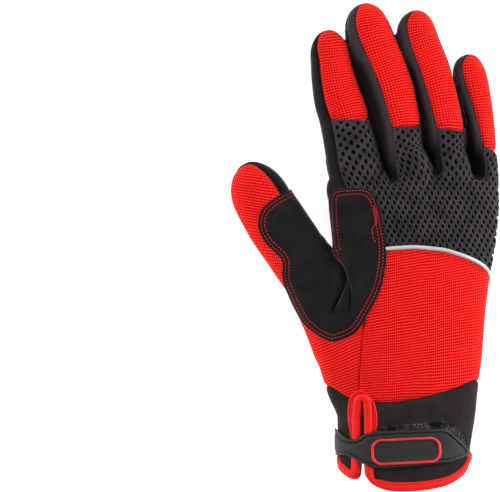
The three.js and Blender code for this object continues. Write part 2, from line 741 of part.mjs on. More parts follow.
const pipingRoom = pipingBand(PIPING_WIDTH + 2 * GAP);
const forks = order.slice(0, 3).map((name, i) => ({ first: name, second: order[i + 1] }));
const backWedgesFrom = (grow, start) => joined(order.map((name) => fingerBackWedge(name, grow, start)));
const mouthSide = (shift) => prism(fingerSideOf(MOUTH_EDGE, shift));
const halfPiping = PIPING_WIDTH / 2 + GAP;

// Fork region of all finger gaps, clear of the finger backs
const allForks = (grow) => joined(forks.map((f) => forkRegion(f.first, f.second, grow)));

function fingerBack(name) {
  const start = FINGER_BACKS[name].hem + GAP / GLOVE_LENGTH;
  let body = skin.intersect(fingerBackWedge(name, 0, start));
  for (const other of order.filter((one) => one !== name)) {
    body = body.subtract(fingerForm(fingers[other], GAP));
  }
  return body;
}
for (const name of order) {
  add(`finger_back_${name}`, fingerBack(name), KNIT_RED);
}

const backs = backWedgesFrom(GAP, CROTCH_ALONG);

forks.forEach((f) => {
  let body = skin.intersect(forkRegion(f.first, f.second, 0)).subtract(backs);
  for (const other of order.filter((one) => one !== f.first && one !== f.second)) {
    body = body.subtract(fingerForm(fingers[other], GAP));
  }
  add(`fourchette_${f.first}_${f.second}`, body, STRETCH_DARK);
});
const forkRoom = allForks(GAP).add(allForks(0)).subtract(backs);

const upToHems = joined(order.map((name) => {
  const row = FINGER_BACKS[name];
  const wedge = fingerBackWedge(name, 0, CROTCH_ALONG);
  const end = row.hem * GLOVE_LENGTH;
  return wedge.intersect(block(2 * FAR, FAR, 2 * FAR, 0, end - FAR / 2, 0));
}));

const thumbRoom = thumbRegion(GAP);
const handBack = handBackTop(0).intersect(upperHalf).add(aboveOuterSeam(0));
const meshRegion = handBack.intersect(beyondPiping(halfPiping))
  .intersect(block(2 * FAR, FAR, 2 * FAR, 0, MESH_END * GLOVE_LENGTH - FAR / 2, 0)).add(upToHems);
add('knuckle_mesh', skin.intersect(meshRegion).subtract(forkRoom).subtract(thumbRoom).subtract(pipingRoom),
  MESH_BLACK);

const seamSide = (grow) => prism(closedLine(BACK_SEAM, grow), SPLIT_HEIGHT);
const belowPiping = skin.subtract(beyondPiping(-halfPiping)).subtract(pipingRoom)
  .intersect(beyondCuffSeam(GAP / 2)).subtract(thumbRoom);
add('back_panel', belowPiping.intersect(upperHalf.add(aboveOuterSeam(0)))
  .subtract(seamSide(GAP)).subtract(redSideUnder(GAP)), KNIT_RED);
add('thumb_side_panel', belowPiping.intersect(seamSide(0).add(redSideUnder(0))), KNIT_RED);

add('thumb_back', skin.intersect(thumbRegion(0)).intersect(thumbBackRegion(0)), KNIT_RED);
add('thumb_front', skin.intersect(thumbRegion(0)).subtract(thumbBackRegion(GAP)), LEATHER_BLACK);

const handBackRoom = handBackTop(GAP).add(aboveOuterSeam(GAP)).add(seamSide(GAP)).add(backs);
const palmRest = skin.intersect(beyondCuffSeam(GAP / 2)).subtract(handBackRoom).subtract(forkRoom)
  .subtract(thumbRoom).subtract(redSideUnder(GAP));
add('palm_panel', palmRest, LEATHER_BLACK);

add('reflective_piping', gloveForm(PIPING_PROUD).subtract(innerForm).intersect(pipingBand(PIPING_WIDTH))
  .intersect(aboveOuterSeam(0)), PIPING_SILVER);

// Layers laid on the skin
const layer = (low, high) => gloveForm(high).subtract(gloveForm(low)).intersect(aboveFloor);
const padLayer = layer(GAP, GAP + PAD_THICKNESS);
const onPalm = (rows) => padLayer.intersect(underPalm(closedLine(rows, PAD_MARGIN)));
add('finger_base_pad', onPalm(FINGER_PAD_OUTLINE), LEATHER_BLACK);
add('heel_pad', onPalm(HEEL_PAD_OUTLINE), LEATHER_BLACK);
add('thenar_pad', onPalm(THENAR_PAD_OUTLINE), LEATHER_BLACK);

add('saddle_patch', layer(GAP, GAP + PATCH_THICKNESS)
  .intersect(overBack(closedLine(SADDLE_OUTLINE))).subtract(pipingRoom), LEATHER_BLACK);

// Cuff
function slitPrism(grow) {
  const left = SLIT_PATH.map((row) =>
    place(row).add(new THREE.Vector2(-(row.wide * SLIT_GAP) / 2 - grow, 0)));
  const right = SLIT_PATH.map((row) =>
    place(row).add(new THREE.Vector2((row.wide * SLIT_GAP) / 2 + grow, 0)));
  return prism([...left, ...right.reverse()], SPLIT_HEIGHT);
}
const cuffTube = handForm(0).subtract(handForm(-NEOPRENE_WALL)).intersect(aboveFloor);
const cuffBody = cuffTube.subtract(beyondCuffSeam(-GAP / 2)).intersect(mouthSide(BINDING_WIDTH + GAP));
add('cuff', cuffBody.subtract(slitPrism(0)), NEOPRENE_BLACK);

const bindingTube = handForm(BINDING_PROUD).subtract(handForm(-NEOPRENE_WALL - BINDING_PROUD))
  .intersect(aboveFloor);
add('hem_binding', bindingTube.intersect(mouthSide(0)).subtract(mouthSide(BINDING_WIDTH))
  .subtract(slitPrism(0)), TAPE_RED);

const tapeLayer = handForm(GAP + BINDING_TAPE).subtract(handForm(GAP));
const clearOfHem = mouthSide(BINDING_WIDTH + GAP);
add('slit_binding', tapeLayer.intersect(overBack(closedLine(SLIT_BINDING_OUTLINE))).intersect(clearOfHem)
  .subtract(slitPrism(0)), TAPE_RED);

const loopLayer = handForm(GAP + LOOP_THICKNESS).subtract(handForm(GAP));
add('loop_patch', loopLayer.intersect(overBack(closedLine(LOOP_PATCH_OUTLINE))).intersect(clearOfHem)
  .subtract(overBack(closedLine(SLIT_BINDING_OUTLINE, GAP))), LOOP_BLACK);

const strapLow = 2 * GAP + Math.max(BINDING_TAPE, LOOP_THICKNESS, BINDING_PROUD);
const strapHigh = strapLow + STRAP_THICKNESS;
add('closure_strap', handForm(strapHigh).subtract(handForm(strapLow))
  .intersect(overBack(closedLine(STRAP_OUTLINE))), RUBBER_GREY);

// Rounded frame on the strap
function roundedFrame(grow) {
  const shape = new THREE.Shape();
  const halfLength = BADGE_LENGTH / 2 + grow;
  const halfWidth = BADGE_WIDTH / 2 + grow;
  const radius = halfWidth * BADGE_ROUNDNESS;
  shape.absarc(halfLength - radius, halfWidth - radius, radius, 0, Math.PI / 2, false);
  shape.absarc(radius - halfLength, halfWidth - radius, radius, Math.PI / 2, Math.PI, false);
  shape.absarc(radius - halfLength, radius - halfWidth, radius, Math.PI, 1.5 * Math.PI, false);
  shape.absarc(halfLength - radius, radius - halfWidth, radius, 1.5 * Math.PI, 2 * Math.PI, false);
  const middle = place(BADGE_PLACE);
  const line = shape.getPoints(3).map((p) => p.rotateAround(new THREE.Vector2(), BADGE_TURN * DEGREE).add(middle));
  return overBack(line.filter((p, i) => i === 0 || p.distanceTo(line[i - 1]) > 0.01));
}
const badgeLow = strapHigh + GAP;
add('strap_badge_frame', handForm(badgeLow + BADGE_PROUD).subtract(handForm(badgeLow))
  .intersect(roundedFrame(0).subtract(roundedFrame(-BADGE_RIM))), TAPE_RED);

// The glove, with its origin below the middle of its box
const glove = new THREE.Group();
glove.name = 'construction_glove';
for (const piece of pieces) {
  const mesh = piece.body.getMesh();
  const geometry = new THREE.BufferGeometry();
  geometry.setAttribute('position', new THREE.Float32BufferAttribute(mesh.vertProperties, 3));
  geometry.setIndex(Array.from(mesh.triVerts));
  geometry.computeVertexNormals();
  const node = new THREE.Mesh(geometry, piece.material);
  node.name = piece.name;
  glove.add(node);
}
const box = new THREE.Box3().setFromObject(glove);
const middle = box.getCenter(new THREE.Vector3());
glove.position.set(-middle.x, -middle.y, -box.min.z);
glove.updateMatrixWorld(true);

export default glove;
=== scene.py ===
# Construction glove for the right hand, lying palm down, seen from straight above.
import math

import bmesh
import bpy
import numpy as np
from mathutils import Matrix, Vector


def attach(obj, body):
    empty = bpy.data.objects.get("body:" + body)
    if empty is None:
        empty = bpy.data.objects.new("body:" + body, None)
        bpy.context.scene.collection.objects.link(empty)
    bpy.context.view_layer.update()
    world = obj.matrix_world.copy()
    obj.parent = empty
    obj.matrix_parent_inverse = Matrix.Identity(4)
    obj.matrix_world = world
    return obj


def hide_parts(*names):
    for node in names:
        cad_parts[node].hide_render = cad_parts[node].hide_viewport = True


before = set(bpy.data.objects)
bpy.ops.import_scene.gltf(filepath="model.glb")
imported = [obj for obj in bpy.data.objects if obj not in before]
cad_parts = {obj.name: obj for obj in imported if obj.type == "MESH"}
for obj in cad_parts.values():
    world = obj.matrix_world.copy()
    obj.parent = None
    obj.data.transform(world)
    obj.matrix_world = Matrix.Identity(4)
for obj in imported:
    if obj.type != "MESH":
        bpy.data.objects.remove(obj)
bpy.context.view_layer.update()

# Sizes of the glove in millimetres, as in the solids
GLOVE_LENGTH = 250
PALM_WIDTH = 88
PALM_DEPTH = 36
FINGER_WIDTH = {"index": 23.2, "middle": 24.4, "ring": 20.8, "little": 17}
FINGER_DEPTH = {"index": 20, "middle": 21, "ring": 19.4, "little": 17}
THUMB_WIDTH = 31
THUMB_DEPTH = 25
PALM_SQUARENESS = 2.4
FINGER_SQUARENESS = 2.15
SPLIT_HEIGHT = PALM_DEPTH / 2
VOXEL = 0.9
FINGER_SPACE = 1.5
DEEPEST_PRESS = 6

# The solids' origin in the frame of the tables below
ORIGIN = np.array((-23.772, 124.789, 0.0))
MM = 0.001

# The camera looks straight down at the middle of the view
VIEW_MIDDLE = np.array((-83.57, 124.49))
VIEW_HEIGHT = 15
VIEW_WIDTH = 257.2
LENS = 180
SENSOR = 36
VIEW_DISTANCE = VIEW_WIDTH * LENS / SENSOR + VIEW_HEIGHT

HAND_SECTIONS = [
    # along, left, right, low, high
    (-0.012, -0.42, 0.333, 0.02, 0.96),
    (0.084, -0.432, 0.33, 0.02, 0.98),
    (0.152, -0.438, 0.36, 0.03, 1.0),
    (0.172, -0.466, 0.366, 0.035, 1.005),
    (0.19, -0.49, 0.37, 0.04, 1.01),
    (0.208, -0.508, 0.376, 0.05, 1.03),
    (0.274, -0.56, 0.397, 0.05, 1.05),
    (0.368, -0.545, 0.417, 0.05, 1.06),
    (0.446, -0.475, 0.447, 0.05, 1.05),
    (0.5, -0.455, 0.476, 0.05, 1.02),
    (0.572, -0.476, 0.497, 0.06, 0.97),
    (0.61, -0.503, 0.497, 0.09, 0.92),
    (0.628, -0.497, 0.48, 0.15, 0.84),
    (0.64, -0.47, 0.44, 0.28, 0.7),
    (0.655, -0.42, 0.42, 0.34, 0.62),
    (0.668, -0.38, 0.4, 0.4, 0.56),
]
FINGER_PATHS = {
    # across, along, up, wide, deep
    "index": [
        (-0.28, 0.53, 0.52, 1.0, 1.3),
        (-0.336, 0.66, 0.47, 1.2, 1.22),
        (-0.389, 0.757, 0.35, 1.14, 1.05),
        (-0.428, 0.799, 0.31, 1.09, 1.02),
        (-0.457, 0.841, 0.28, 0.98, 1.0),
        (-0.476, 0.886, 0.262, 0.88, 0.96),
        (-0.494, 0.944, 0.25, 0.86, 0.9),
    ],
    "middle": [
        (0.06, 0.53, 0.55, 0.92, 1.25),
        (0.0, 0.644, 0.52, 0.9, 1.2),
        (-0.065, 0.688, 0.46, 0.92, 1.12),
        (-0.097, 0.744, 0.4, 1.11, 1.05),
        (-0.143, 0.816, 0.32, 1.17, 1.0),
        (-0.197, 0.873, 0.285, 1.15, 0.98),
        (-0.229, 0.907, 0.275, 1.08, 0.96),
        (-0.26, 0.942, 0.265, 1.0, 0.94),
        (-0.284, 0.999, 0.255, 0.96, 0.9),
    ],
    "ring": [
        (0.25, 0.53, 0.53, 0.95, 1.25),
        (0.222, 0.65, 0.5, 0.98, 1.2),
        (0.185, 0.688, 0.45, 1.05, 1.12),
        (0.172, 0.74, 0.4, 1.12, 1.05),
        (0.134, 0.815, 0.32, 1.09, 1.0),
        (0.093, 0.868, 0.28, 1.05, 0.98),
        (0.051, 0.907, 0.265, 1.04, 0.96),
        (0.028, 0.938, 0.255, 1.0, 0.94),
        (0.024, 0.985, 0.25, 0.96, 0.9),
    ],
    "little": [
        (0.385, 0.53, 0.42, 1.0, 1.25),
        (0.405, 0.62, 0.4, 0.98, 1.2),
        (0.396, 0.69, 0.34, 0.98, 1.1),
        (0.384, 0.747, 0.28, 1.0, 1.03),
        (0.368, 0.79, 0.25, 1.03, 1.0),
        (0.345, 0.832, 0.24, 1.07, 0.98),
        (0.334, 0.865, 0.237, 1.0, 0.96),
        (0.342, 0.894, 0.232, 0.95, 0.92),
    ],
}
THUMB_PATH = [
    (-0.33, 0.24, 0.5, 1.02, 1.2),
    (-0.384, 0.294, 0.5, 1.12, 1.22),
    (-0.473, 0.375, 0.48, 1.14, 1.2),
    (-0.586, 0.438, 0.45, 1.01, 1.12),
    (-0.706, 0.497, 0.41, 0.96, 1.03),
    (-0.8, 0.546, 0.37, 0.97, 1.0),
    (-0.886, 0.598, 0.345, 0.93, 0.98),
    (-0.982, 0.668, 0.33, 0.88, 0.94),
]
FINGER_BACKS = {
    # first edge in degrees round the finger, hem as a share of the length, tilt of the hem
    "index": (-4, 0.757, 0.0),
    "middle": (16, 0.742, 0.06),
    "ring": (16, 0.738, -0.1),
    "little": (-40, 0.706, -0.4),
}
FAR_EDGES = {
    # along, degrees round the finger where its back ends on the thumb's side
    "index": [(0.62, 128), (0.757, 126), (0.88, 128), (0.907, 137), (0.935, 148)],
    "middle": [
        (0.62, 144), (0.644, 136), (0.668, 120), (0.69, 108), (0.744, 101),
        (0.816, 103), (0.872, 107), (0.907, 113), (0.952, 120), (0.99, 124),
    ],
    "ring": [
        (0.64, 121), (0.66, 113), (0.69, 102), (0.744, 106),
        (0.807, 113), (0.852, 116), (0.935, 118), (0.965, 125),
    ],
    "little": [
        (0.64, 80), (0.708, 83), (0.747, 92), (0.781, 98),
        (0.815, 105), (0.847, 114), (0.875, 122),
    ],
}
SLIT_ACROSS = -0.301
SLIT_TOP = 0.182
SLIT_HALF_WIDTHS = [
    # millimetres along, half width of the slit
    (-10, 30), (0, 9), (2, 5.4), (4, 3.2), (6, 2.1),
    (9, 1.4), (12.5, 1.0), (38, 0.85), (47, 0.25),
]
PALM_SIDE_FROM = 195
PALM_SIDE_TO = 300
CROTCHES = [
    # across, along
    (-0.108, 0.609),
    (0.16, 0.65),
    (0.4, 0.641),
]
SLOT_DEPTH = 7
OUTER_SEAM = [
    # along, angle
    (0.15, -42),
    (0.204, -40),
    (0.264, -32),
    (0.312, -26),
    (0.414, -22),
    (0.66, -24),
]
PIPING_LINE = [
    # angle, along
    (150, 0.485),
    (112, 0.4916),
    (91, 0.496),
    (73, 0.49),
    (53, 0.475),
    (35, 0.461),
    (13, 0.442),
    (-5, 0.42),
    (-20, 0.395),
    (-34, 0.37),
]
MESH_EDGE = [
    # along, across
    (0.4, -0.3),
    (0.56, -0.35),
    (0.615, -0.389),
    (0.757, -0.465),
]
THUMB_OUTLINE = [
    # across, along, corner
    (-0.486, 0.494, 1),
    (-0.56, 0.6, 1),
    (-0.6, 0.76, 1),
    (-1.4, 0.76, 1),
    (-1.4, 0.388, 1),
    (-0.725, 0.402, 1),
]
THUMB_BACK_OUTLINE = [
    # across, along, corner
    (-1.4, 0.38, 1),
    (-0.725, 0.38, 1),
    (-0.515, 0.48, 1),
    (-0.651, 0.55, 0),
    (-0.757, 0.6, 0),
    (-0.792, 0.618, 0),
    (-0.827, 0.636, 0),
    (-0.87, 0.653, 0),
    (-0.926, 0.667, 0),
    (-0.968, 0.67, 0),
    (-1.004, 0.667, 0),
    (-1.04, 0.655, 0),
    (-1.4, 0.645, 1),
]
RED_SIDE_OUTLINE = [
    # across, along, corner
    (-0.395, 0.19, 1),
    (-0.452, 0.266, 0),
    (-0.515, 0.312, 0),
    (-0.589, 0.353, 0),
    (-0.64, 0.39, 0),
    (-0.697, 0.428, 0),
    (-0.776, 0.473, 0),
    (-0.89, 0.537, 0),
    (-0.945, 0.58, 0),
    (-0.985, 0.625, 0),
    (-1.03, 0.64, 0),
    (-1.4, 0.64, 1),
    (-1.4, 0.19, 1),
]
BACK_SEAM = [
    # across, along, corner
    (-0.262, 0.51, 1),
    (-0.285, 0.356, 1),
    (-0.316, 0.208, 1),
    (-0.32, 0.15, 1),
    (-1.4, 0.15, 1),
    (-1.4, 0.51, 1),
]
CUFF_SEAM_BACK = [
    # across, along, corner
    (-0.96, 0.216, 0),
    (-0.508, 0.21, 0),
    (-0.37, 0.184, 0),
    (-0.225, 0.177, 0),
    (-0.11, 0.177, 0),
    (0.073, 0.187, 0),
    (0.258, 0.206, 0),
    (0.376, 0.222, 0),
    (0.96, 0.224, 0),
]
CUFF_SEAM_PALM = [
    # across, along, corner
    (-0.96, 0.216, 0),
    (-0.508, 0.213, 0),
    (-0.397, 0.221, 0),
    (-0.274, 0.218, 0),
    (-0.133, 0.208, 0),
    (0.005, 0.198, 0),
    (0.153, 0.194, 0),
    (0.285, 0.2, 0),
    (0.376, 0.214, 0),
    (0.96, 0.216, 0),
]
MOUTH_EDGE = [
    # across, along, corner
    (-0.8, 0.075, 0),
    (-0.458, 0.058, 0),
    (-0.424, 0.038, 0),
    (-0.367, 0.022, 0),
    (-0.276, 0.01, 0),
    (-0.14, 0, 0),
    (0.065, 0.002, 0),
    (0.2125, 0.014, 0),
    (0.292, 0.034, 0),
    (0.332, 0.058, 0),
    (0.7, 0.075, 0),
]
MOUTH_EDGE_PALM = [
    # across, along, corner
    (-0.8, 0.075, 0),
    (-0.458, 0.058, 0),
    (-0.41, 0.052, 0),
    (-0.34, 0.05, 0),
    (-0.2, 0.045, 0),
    (0.0, 0.03, 0),
    (0.2125, 0.026, 0),
    (0.292, 0.038, 0),
    (0.332, 0.058, 0),
    (0.7, 0.075, 0),
]
SADDLE_OUTLINE = [
    # across, along, corner
    (-0.484, 0.597, 1),
    (-0.462, 0.611, 0),
    (-0.42, 0.615, 0),
    (-0.286, 0.615, 0),
    (-0.238, 0.605, 0),
    (-0.206, 0.58, 0),
    (-0.184, 0.543, 0),
    (-0.167, 0.504, 0),
    (-0.165, 0.473, 0),
    (-0.176, 0.444, 0),
    (-0.205, 0.405, 0),
    (-0.272, 0.36, 0),
    (-0.342, 0.323, 0),
    (-0.43, 0.307, 0),
    (-0.483, 0.304, 0),
    (-0.558, 0.317, 0),
    (-0.634, 0.34, 0),
    (-0.681, 0.368, 0),
    (-0.722, 0.399, 0),
    (-0.757, 0.432, 0),
    (-0.762, 0.468, 0),
    (-0.8, 0.484, 0),
    (-0.86, 0.506, 0),
    (-0.9, 0.538, 0),
    (-0.888, 0.568, 0),
    (-0.83, 0.59, 0),
    (-0.705, 0.616, 0),
    (-0.63, 0.632, 1),
    (-0.575, 0.585, 0),
    (-0.52, 0.535, 0),
    (-0.487, 0.502, 1),
    (-0.455, 0.478, 1),
    (-0.468, 0.51, 0),
    (-0.478, 0.55, 0),
]
FINGER_PAD_OUTLINE = [
    # across, along, corner
    (0.4, 0.556, 0),
    (0.406, 0.596, 0),
    (0.406, 0.632, 0),
    (0.377, 0.648, 0),
    (0.343, 0.636, 0),
    (0.326, 0.616, 0),
    (0.292, 0.608, 0),
    (0.256, 0.62, 0),
    (0.247, 0.652, 0),
    (0.224, 0.678, 0),
    (0.19, 0.678, 0),
    (0.167, 0.648, 0),
    (0.144, 0.622, 0),
    (0.099, 0.612, 0),
    (0.053, 0.622, 0),
    (0.031, 0.65, 0),
    (-0.003, 0.684, 0),
    (-0.055, 0.688, 0),
    (-0.083, 0.66, 0),
    (-0.106, 0.616, 0),
    (-0.151, 0.598, 0),
    (-0.231, 0.598, 0),
    (-0.276, 0.616, 0),
    (-0.31, 0.66, 0),
    (-0.344, 0.69, 0),
    (-0.47, 0.69, 1),
    (-0.5, 0.62, 1),
    (-0.5, 0.541, 1),
    (0.2, 0.4946, 0),
    (0.28, 0.492, 0),
    (0.362, 0.512, 0),
]
HEEL_PAD_OUTLINE = [
    # across, along, corner
    (0.312, 0.456, 0),
    (0.201, 0.464, 0),
    (-0.12, 0.484, 0),
    (-0.157, 0.472, 0),
    (-0.205, 0.432, 0),
    (-0.205, 0.419, 0),
    (-0.074, 0.379, 0),
    (-0.017, 0.347, 0),
    (0.01, 0.29, 0),
    (0.014, 0.232, 1),
    (0.178, 0.226, 0),
    (0.2125, 0.244, 0),
    (0.261, 0.324, 0),
    (0.309, 0.398, 0),
    (0.332, 0.44, 0),
]
THENAR_PAD_OUTLINE = [
    # across, along, corner
    (-0.235, 0.502, 1),
    (-0.253, 0.471, 0),
    (-0.294, 0.431, 0),
    (-0.283, 0.404, 0),
    (-0.151, 0.347, 0),
    (-0.133, 0.318, 0),
    (-0.133, 0.263, 0),
    (-0.169, 0.242, 0),
    (-0.294, 0.248, 0),
    (-0.342, 0.263, 0),
    (-0.48, 0.334, 0),
    (-0.585, 0.382, 0),
    (-0.6, 0.416, 0),
    (-0.565, 0.446, 0),
    (-0.51, 0.474, 0),
    (-0.47, 0.496, 0),
    (-0.445, 0.514, 0),
]
SLIT_BINDING_OUTLINE = [
    # across, along, corner
    (-0.355, 0.02, 1),
    (-0.367, 0.107, 0),
    (-0.384, 0.15, 0),
    (-0.38, 0.183, 0),
    (-0.355, 0.2, 0),
    (-0.317, 0.206, 0),
    (-0.274, 0.2, 0),
    (-0.238, 0.184, 0),
    (-0.216, 0.156, 0),
    (-0.222, 0.112, 0),
    (-0.236, 0.02, 1),
]
LOOP_PATCH_OUTLINE = [
    # across, along, corner
    (-0.2, 0.122, 1),
    (0.166, 0.1345, 1),
    (0.207, 0.1335, 0),
    (0.29, 0.106, 1),
    (0.288, 0.07, 1),
    (0.06, 0.056, 1),
    (-0.218, 0.056, 1),
]
STRAP_OUTLINE = [
    # across, along, corner
    (-0.7, 0.12, 1),
    (-0.48, 0.124, 0),
    (-0.44, 0.125, 0),
    (-0.389, 0.11, 0),
    (-0.342, 0.101, 0),
    (-0.307, 0.103, 0),
    (-0.272, 0.1125, 0),
    (0.15, 0.124, 1),
    (0.19, 0.122, 0),
    (0.3, 0.084, 0),
    (0.307, 0.07, 0),
    (0.2125, 0.054, 1),
    (-0.085, 0.043, 0),
    (-0.243, 0.045, 0),
    (-0.372, 0.068, 0),
    (-0.44, 0.068, 1),
    (-0.7, 0.066, 1),
]
BADGE_PLACE = (-0.039, 0.078)


# Curves and outlines
def hermite_line(points, closed=False, corners=None, step=1.0):
    """A smooth line through points, straight at corners, with a point about every step."""
    pts = np.asarray(points, float)
    n = len(pts)
    corners = corners or [False] * n
    runs = n if closed else n - 1
    line = []
    for i in range(runs):
        a, b = pts[i], pts[(i + 1) % n]
        first = corners[i] or (not closed and i == 0)
        last = corners[(i + 1) % n] or (not closed and i == runs - 1)
        before = 2 * a - b if first else pts[i - 1]
        after = 2 * b - a if last else pts[(i + 2) % n]
        d0 = max(1e-6, np.linalg.norm(a - before) ** 0.5)
        d1 = max(1e-6, np.linalg.norm(b - a) ** 0.5)
        d2 = max(1e-6, np.linalg.norm(after - b) ** 0.5)
        t1 = ((a - before) / d0 - (b - before) / (d0 + d1) + (b - a) / d1) * d1
        t2 = ((b - a) / d1 - (after - a) / (d1 + d2) + (after - b) / d2) * d1
        count = max(1, int(round(np.linalg.norm(b - a) / step)))
        for k in range(count):
            t = k / count
            line.append(
                (2 * t**3 - 3 * t**2 + 1) * a
                + (t**3 - 2 * t**2 + t) * t1
                + (3 * t**2 - 2 * t**3) * b
                + (t**3 - t**2) * t2
            )
    if not closed:
        line.append(pts[-1])
    return np.array(line)


def outline(rows, closed=True, step=1.0):
    pts = [(row[0] * PALM_WIDTH, row[1] * GLOVE_LENGTH) for row in rows]
    corners = [len(row) > 2 and row[2] == 1 for row in rows]
    return hermite_line(pts, closed, corners, step)


def distance_to_line(line, xy):
    """Distance of points from a line of straight pieces, in the plan."""
    best = np.full(len(xy), 1e9)
    for p, q in zip(line[:-1], line[1:]):
        d = q - p
        t = np.clip(((xy - p) @ d) / max(d @ d, 1e-9), 0, 1)
        best = np.minimum(best, ((xy - p - t[:, None] * d) ** 2).sum(1))
    return np.sqrt(best)


def distance_in(line, xy):
    """Distance of points from a closed plan outline, positive inside it."""
    inside = np.zeros(len(xy), bool)
    for p, q in zip(line, np.roll(line, -1, axis=0)):
        d = q - p
        cross = (p[1] > xy[:, 1]) != (q[1] > xy[:, 1])
        with np.errstate(divide="ignore", invalid="ignore"):
            at = p[0] + (xy[:, 1] - p[1]) * d[0] / d[1]
        inside ^= cross & (xy[:, 0] < at)
    return np.where(inside, 1, -1) * distance_to_line(np.concatenate((line, line[:1])), xy)


def table_at(rows, key, at, value):
    """Values of a table's column, read between its rows."""
    xs = [row[key] for row in rows]
    ys = [row[value] for row in rows]
    if xs[0] > xs[-1]:
        xs, ys = xs[::-1], ys[::-1]
    return np.interp(at, xs, ys)


def smooth_step(low, high, x):
    t = np.clip((x - low) / (high - low), 0, 1)
    return t * t * (3 - 2 * t)


def soft_min(a, b, k):
    h = np.clip(0.5 + 0.5 * (b - a) / k, 0, 1)
    return b + (a - b) * h - k * h * (1 - h)


def groove(distance, width):
    """A soft dip that is 1 deep in its middle."""
    return np.exp(-((distance / width) ** 2))


def arched(t, squareness):
    """Height of a full round section at a share of its width."""
    return np.sqrt(np.maximum(0.0, 1 - np.abs(2 * t - 1) ** squareness))


def rounded(t, least=0.0):
    """Height of a rounded edge at a share of the edge's width."""
    return np.sqrt(np.clip(1 - (1 - np.minimum(t, 1)) ** 2, least, 1))


def turned(x, y, angle):
    """Coordinates along axes turned by an angle."""
    return x * math.cos(angle) + y * math.sin(angle), y * math.cos(angle) - x * math.sin(angle)


def unit(vectors):
    return vectors / np.linalg.norm(vectors, axis=1)[:, None]


# Sections of the limbs
def superellipse(degrees, half_width, half_depth, squareness):
    c, s = np.cos(np.radians(degrees)), np.sin(np.radians(degrees))
    x = np.sign(c) * np.abs(c) ** (2 / squareness) * half_width
    z = np.sign(s) * np.abs(s) ** (2 / squareness) * half_depth
    return x, z


def hand_rows(along):
    """Left, right, low and high of the hand in millimetres at a share of the length."""
    rows = np.array(HAND_SECTIONS)
    cols = [np.interp(along, rows[:, 0], rows[:, i]) for i in range(1, 5)]
    return (
        cols[0] * PALM_WIDTH,
        cols[1] * PALM_WIDTH,
        cols[2] * PALM_DEPTH,
        cols[3] * PALM_DEPTH,
    )


class Limb:
    """A finger or the thumb: samples along its path, each with a middle, directions and half sizes."""

    def __init__(self, rows, width, depth, tip, bluntness):
        pts = np.array([(r[0] * PALM_WIDTH, r[1] * GLOVE_LENGTH, r[2] * PALM_DEPTH) for r in rows])
        fine = hermite_line(pts, step=0.5)
        seg = np.linalg.norm(np.diff(fine, axis=0), axis=1)
        s = np.concatenate(([0], np.cumsum(seg)))
        count = int(s[-1])
        self.s = np.linspace(0, s[-1], count)
        self.length = s[-1]
        self.middle = np.stack([np.interp(self.s, s, fine[:, i]) for i in range(3)], 1)
        self.tangent = unit(np.gradient(self.middle, axis=0))
        self.across = unit(np.stack((self.tangent[:, 1], -self.tangent[:, 0], 0 * self.s), 1))
        self.up = np.cross(self.across, self.tangent)
        knots = [0]
        for a, b in zip(pts[:-1], pts[1:]):
            knots.append(knots[-1] + np.linalg.norm(b - a))
        knots = np.array(knots) * self.length / knots[-1]
        self.half_width = np.interp(self.s, knots, [r[3] for r in rows]) * width / 2
        self.half_depth = np.interp(self.s, knots, [r[4] for r in rows]) * depth / 2
        self.cap = tip * width
        self.bluntness = bluntness

    def rings(self, sides, step=2.0):
        """Rings of the limb's closed skin, from its root to its rounded tip."""
        body = self.length - self.cap
        stations = [(v, 1.0) for v in np.arange(0, body, step)]
        for angle in range(0, 90, 10):
            a = math.radians(angle)
            stations.append((body + self.cap * math.sin(a), math.cos(a) ** self.bluntness))
        rings = []
        degrees = np.arange(sides) * 360 / sides
        for at, size in stations:
            m = [np.interp(at, self.s, self.middle[:, i]) for i in range(3)]
            k = int(np.clip(np.searchsorted(self.s, at), 0, len(self.s) - 1))
            hw, hd = self.half_width[k] * size, self.half_depth[k] * size
            x, z = superellipse(degrees, hw, hd, FINGER_SQUARENESS)
            rings.append(np.array(m) + x[:, None] * self.across[k] + z[:, None] * self.up[k])
        return rings

    def coordinates(self, points):
        """For each point its arc along the limb, its angle in degrees, its distance from the limb's
        skin, and its offsets sideways and upwards."""
        out = np.zeros((len(points), 5))
        for lo in range(0, len(points), 4000):
            p = points[lo : lo + 4000]
            d = p[:, None, :] - self.middle[None]
            k = (d**2).sum(2).argmin(1)
            rel = p - self.middle[k]
            arc = self.s[k] + (rel * self.tangent[k]).sum(1)
            a = (rel * self.across[k]).sum(1)
            b = (rel * self.up[k]).sum(1)
            hw, hd = self.half_width[k], self.half_depth[k]
            n = FINGER_SQUARENESS / 2
            ca = np.sign(a) * np.abs(a / hw) ** n
            cb = np.sign(b) * np.abs(b / hd) ** n
            size = (ca**2 + cb**2) ** (0.5 / n)
            out[lo : lo + 4000] = np.stack(
                (arc, np.degrees(np.arctan2(cb, ca)), (size - 1) * np.minimum(hw, hd), a, b), 1
            )
        return out


FINGERS = ("index", "middle", "ring", "little")
limbs = {f: Limb(FINGER_PATHS[f], FINGER_WIDTH[f], FINGER_DEPTH[f], 0.6, 1.0) for f in FINGERS}
limbs["thumb"] = Limb(THUMB_PATH, THUMB_WIDTH, THUMB_DEPTH, 0.62, 1.05)


def hand_rings(sides=72, step=2.5):
    first, last = HAND_SECTIONS[0][0], HAND_SECTIONS[-1][0]
    degrees = np.arange(sides) * 360 / sides
    rings = []
    for along in np.linspace(first, last, int((last - first) * GLOVE_LENGTH / step)):
        left, right, low, high = hand_rows(along)
        x, z = superellipse(degrees, (right - left) / 2, (high - low) / 2, PALM_SQUARENESS)
        y = np.full(sides, along * GLOVE_LENGTH)
        rings.append(np.stack((x + (left + right) / 2, y, z + (low + high) / 2), 1))
    return rings


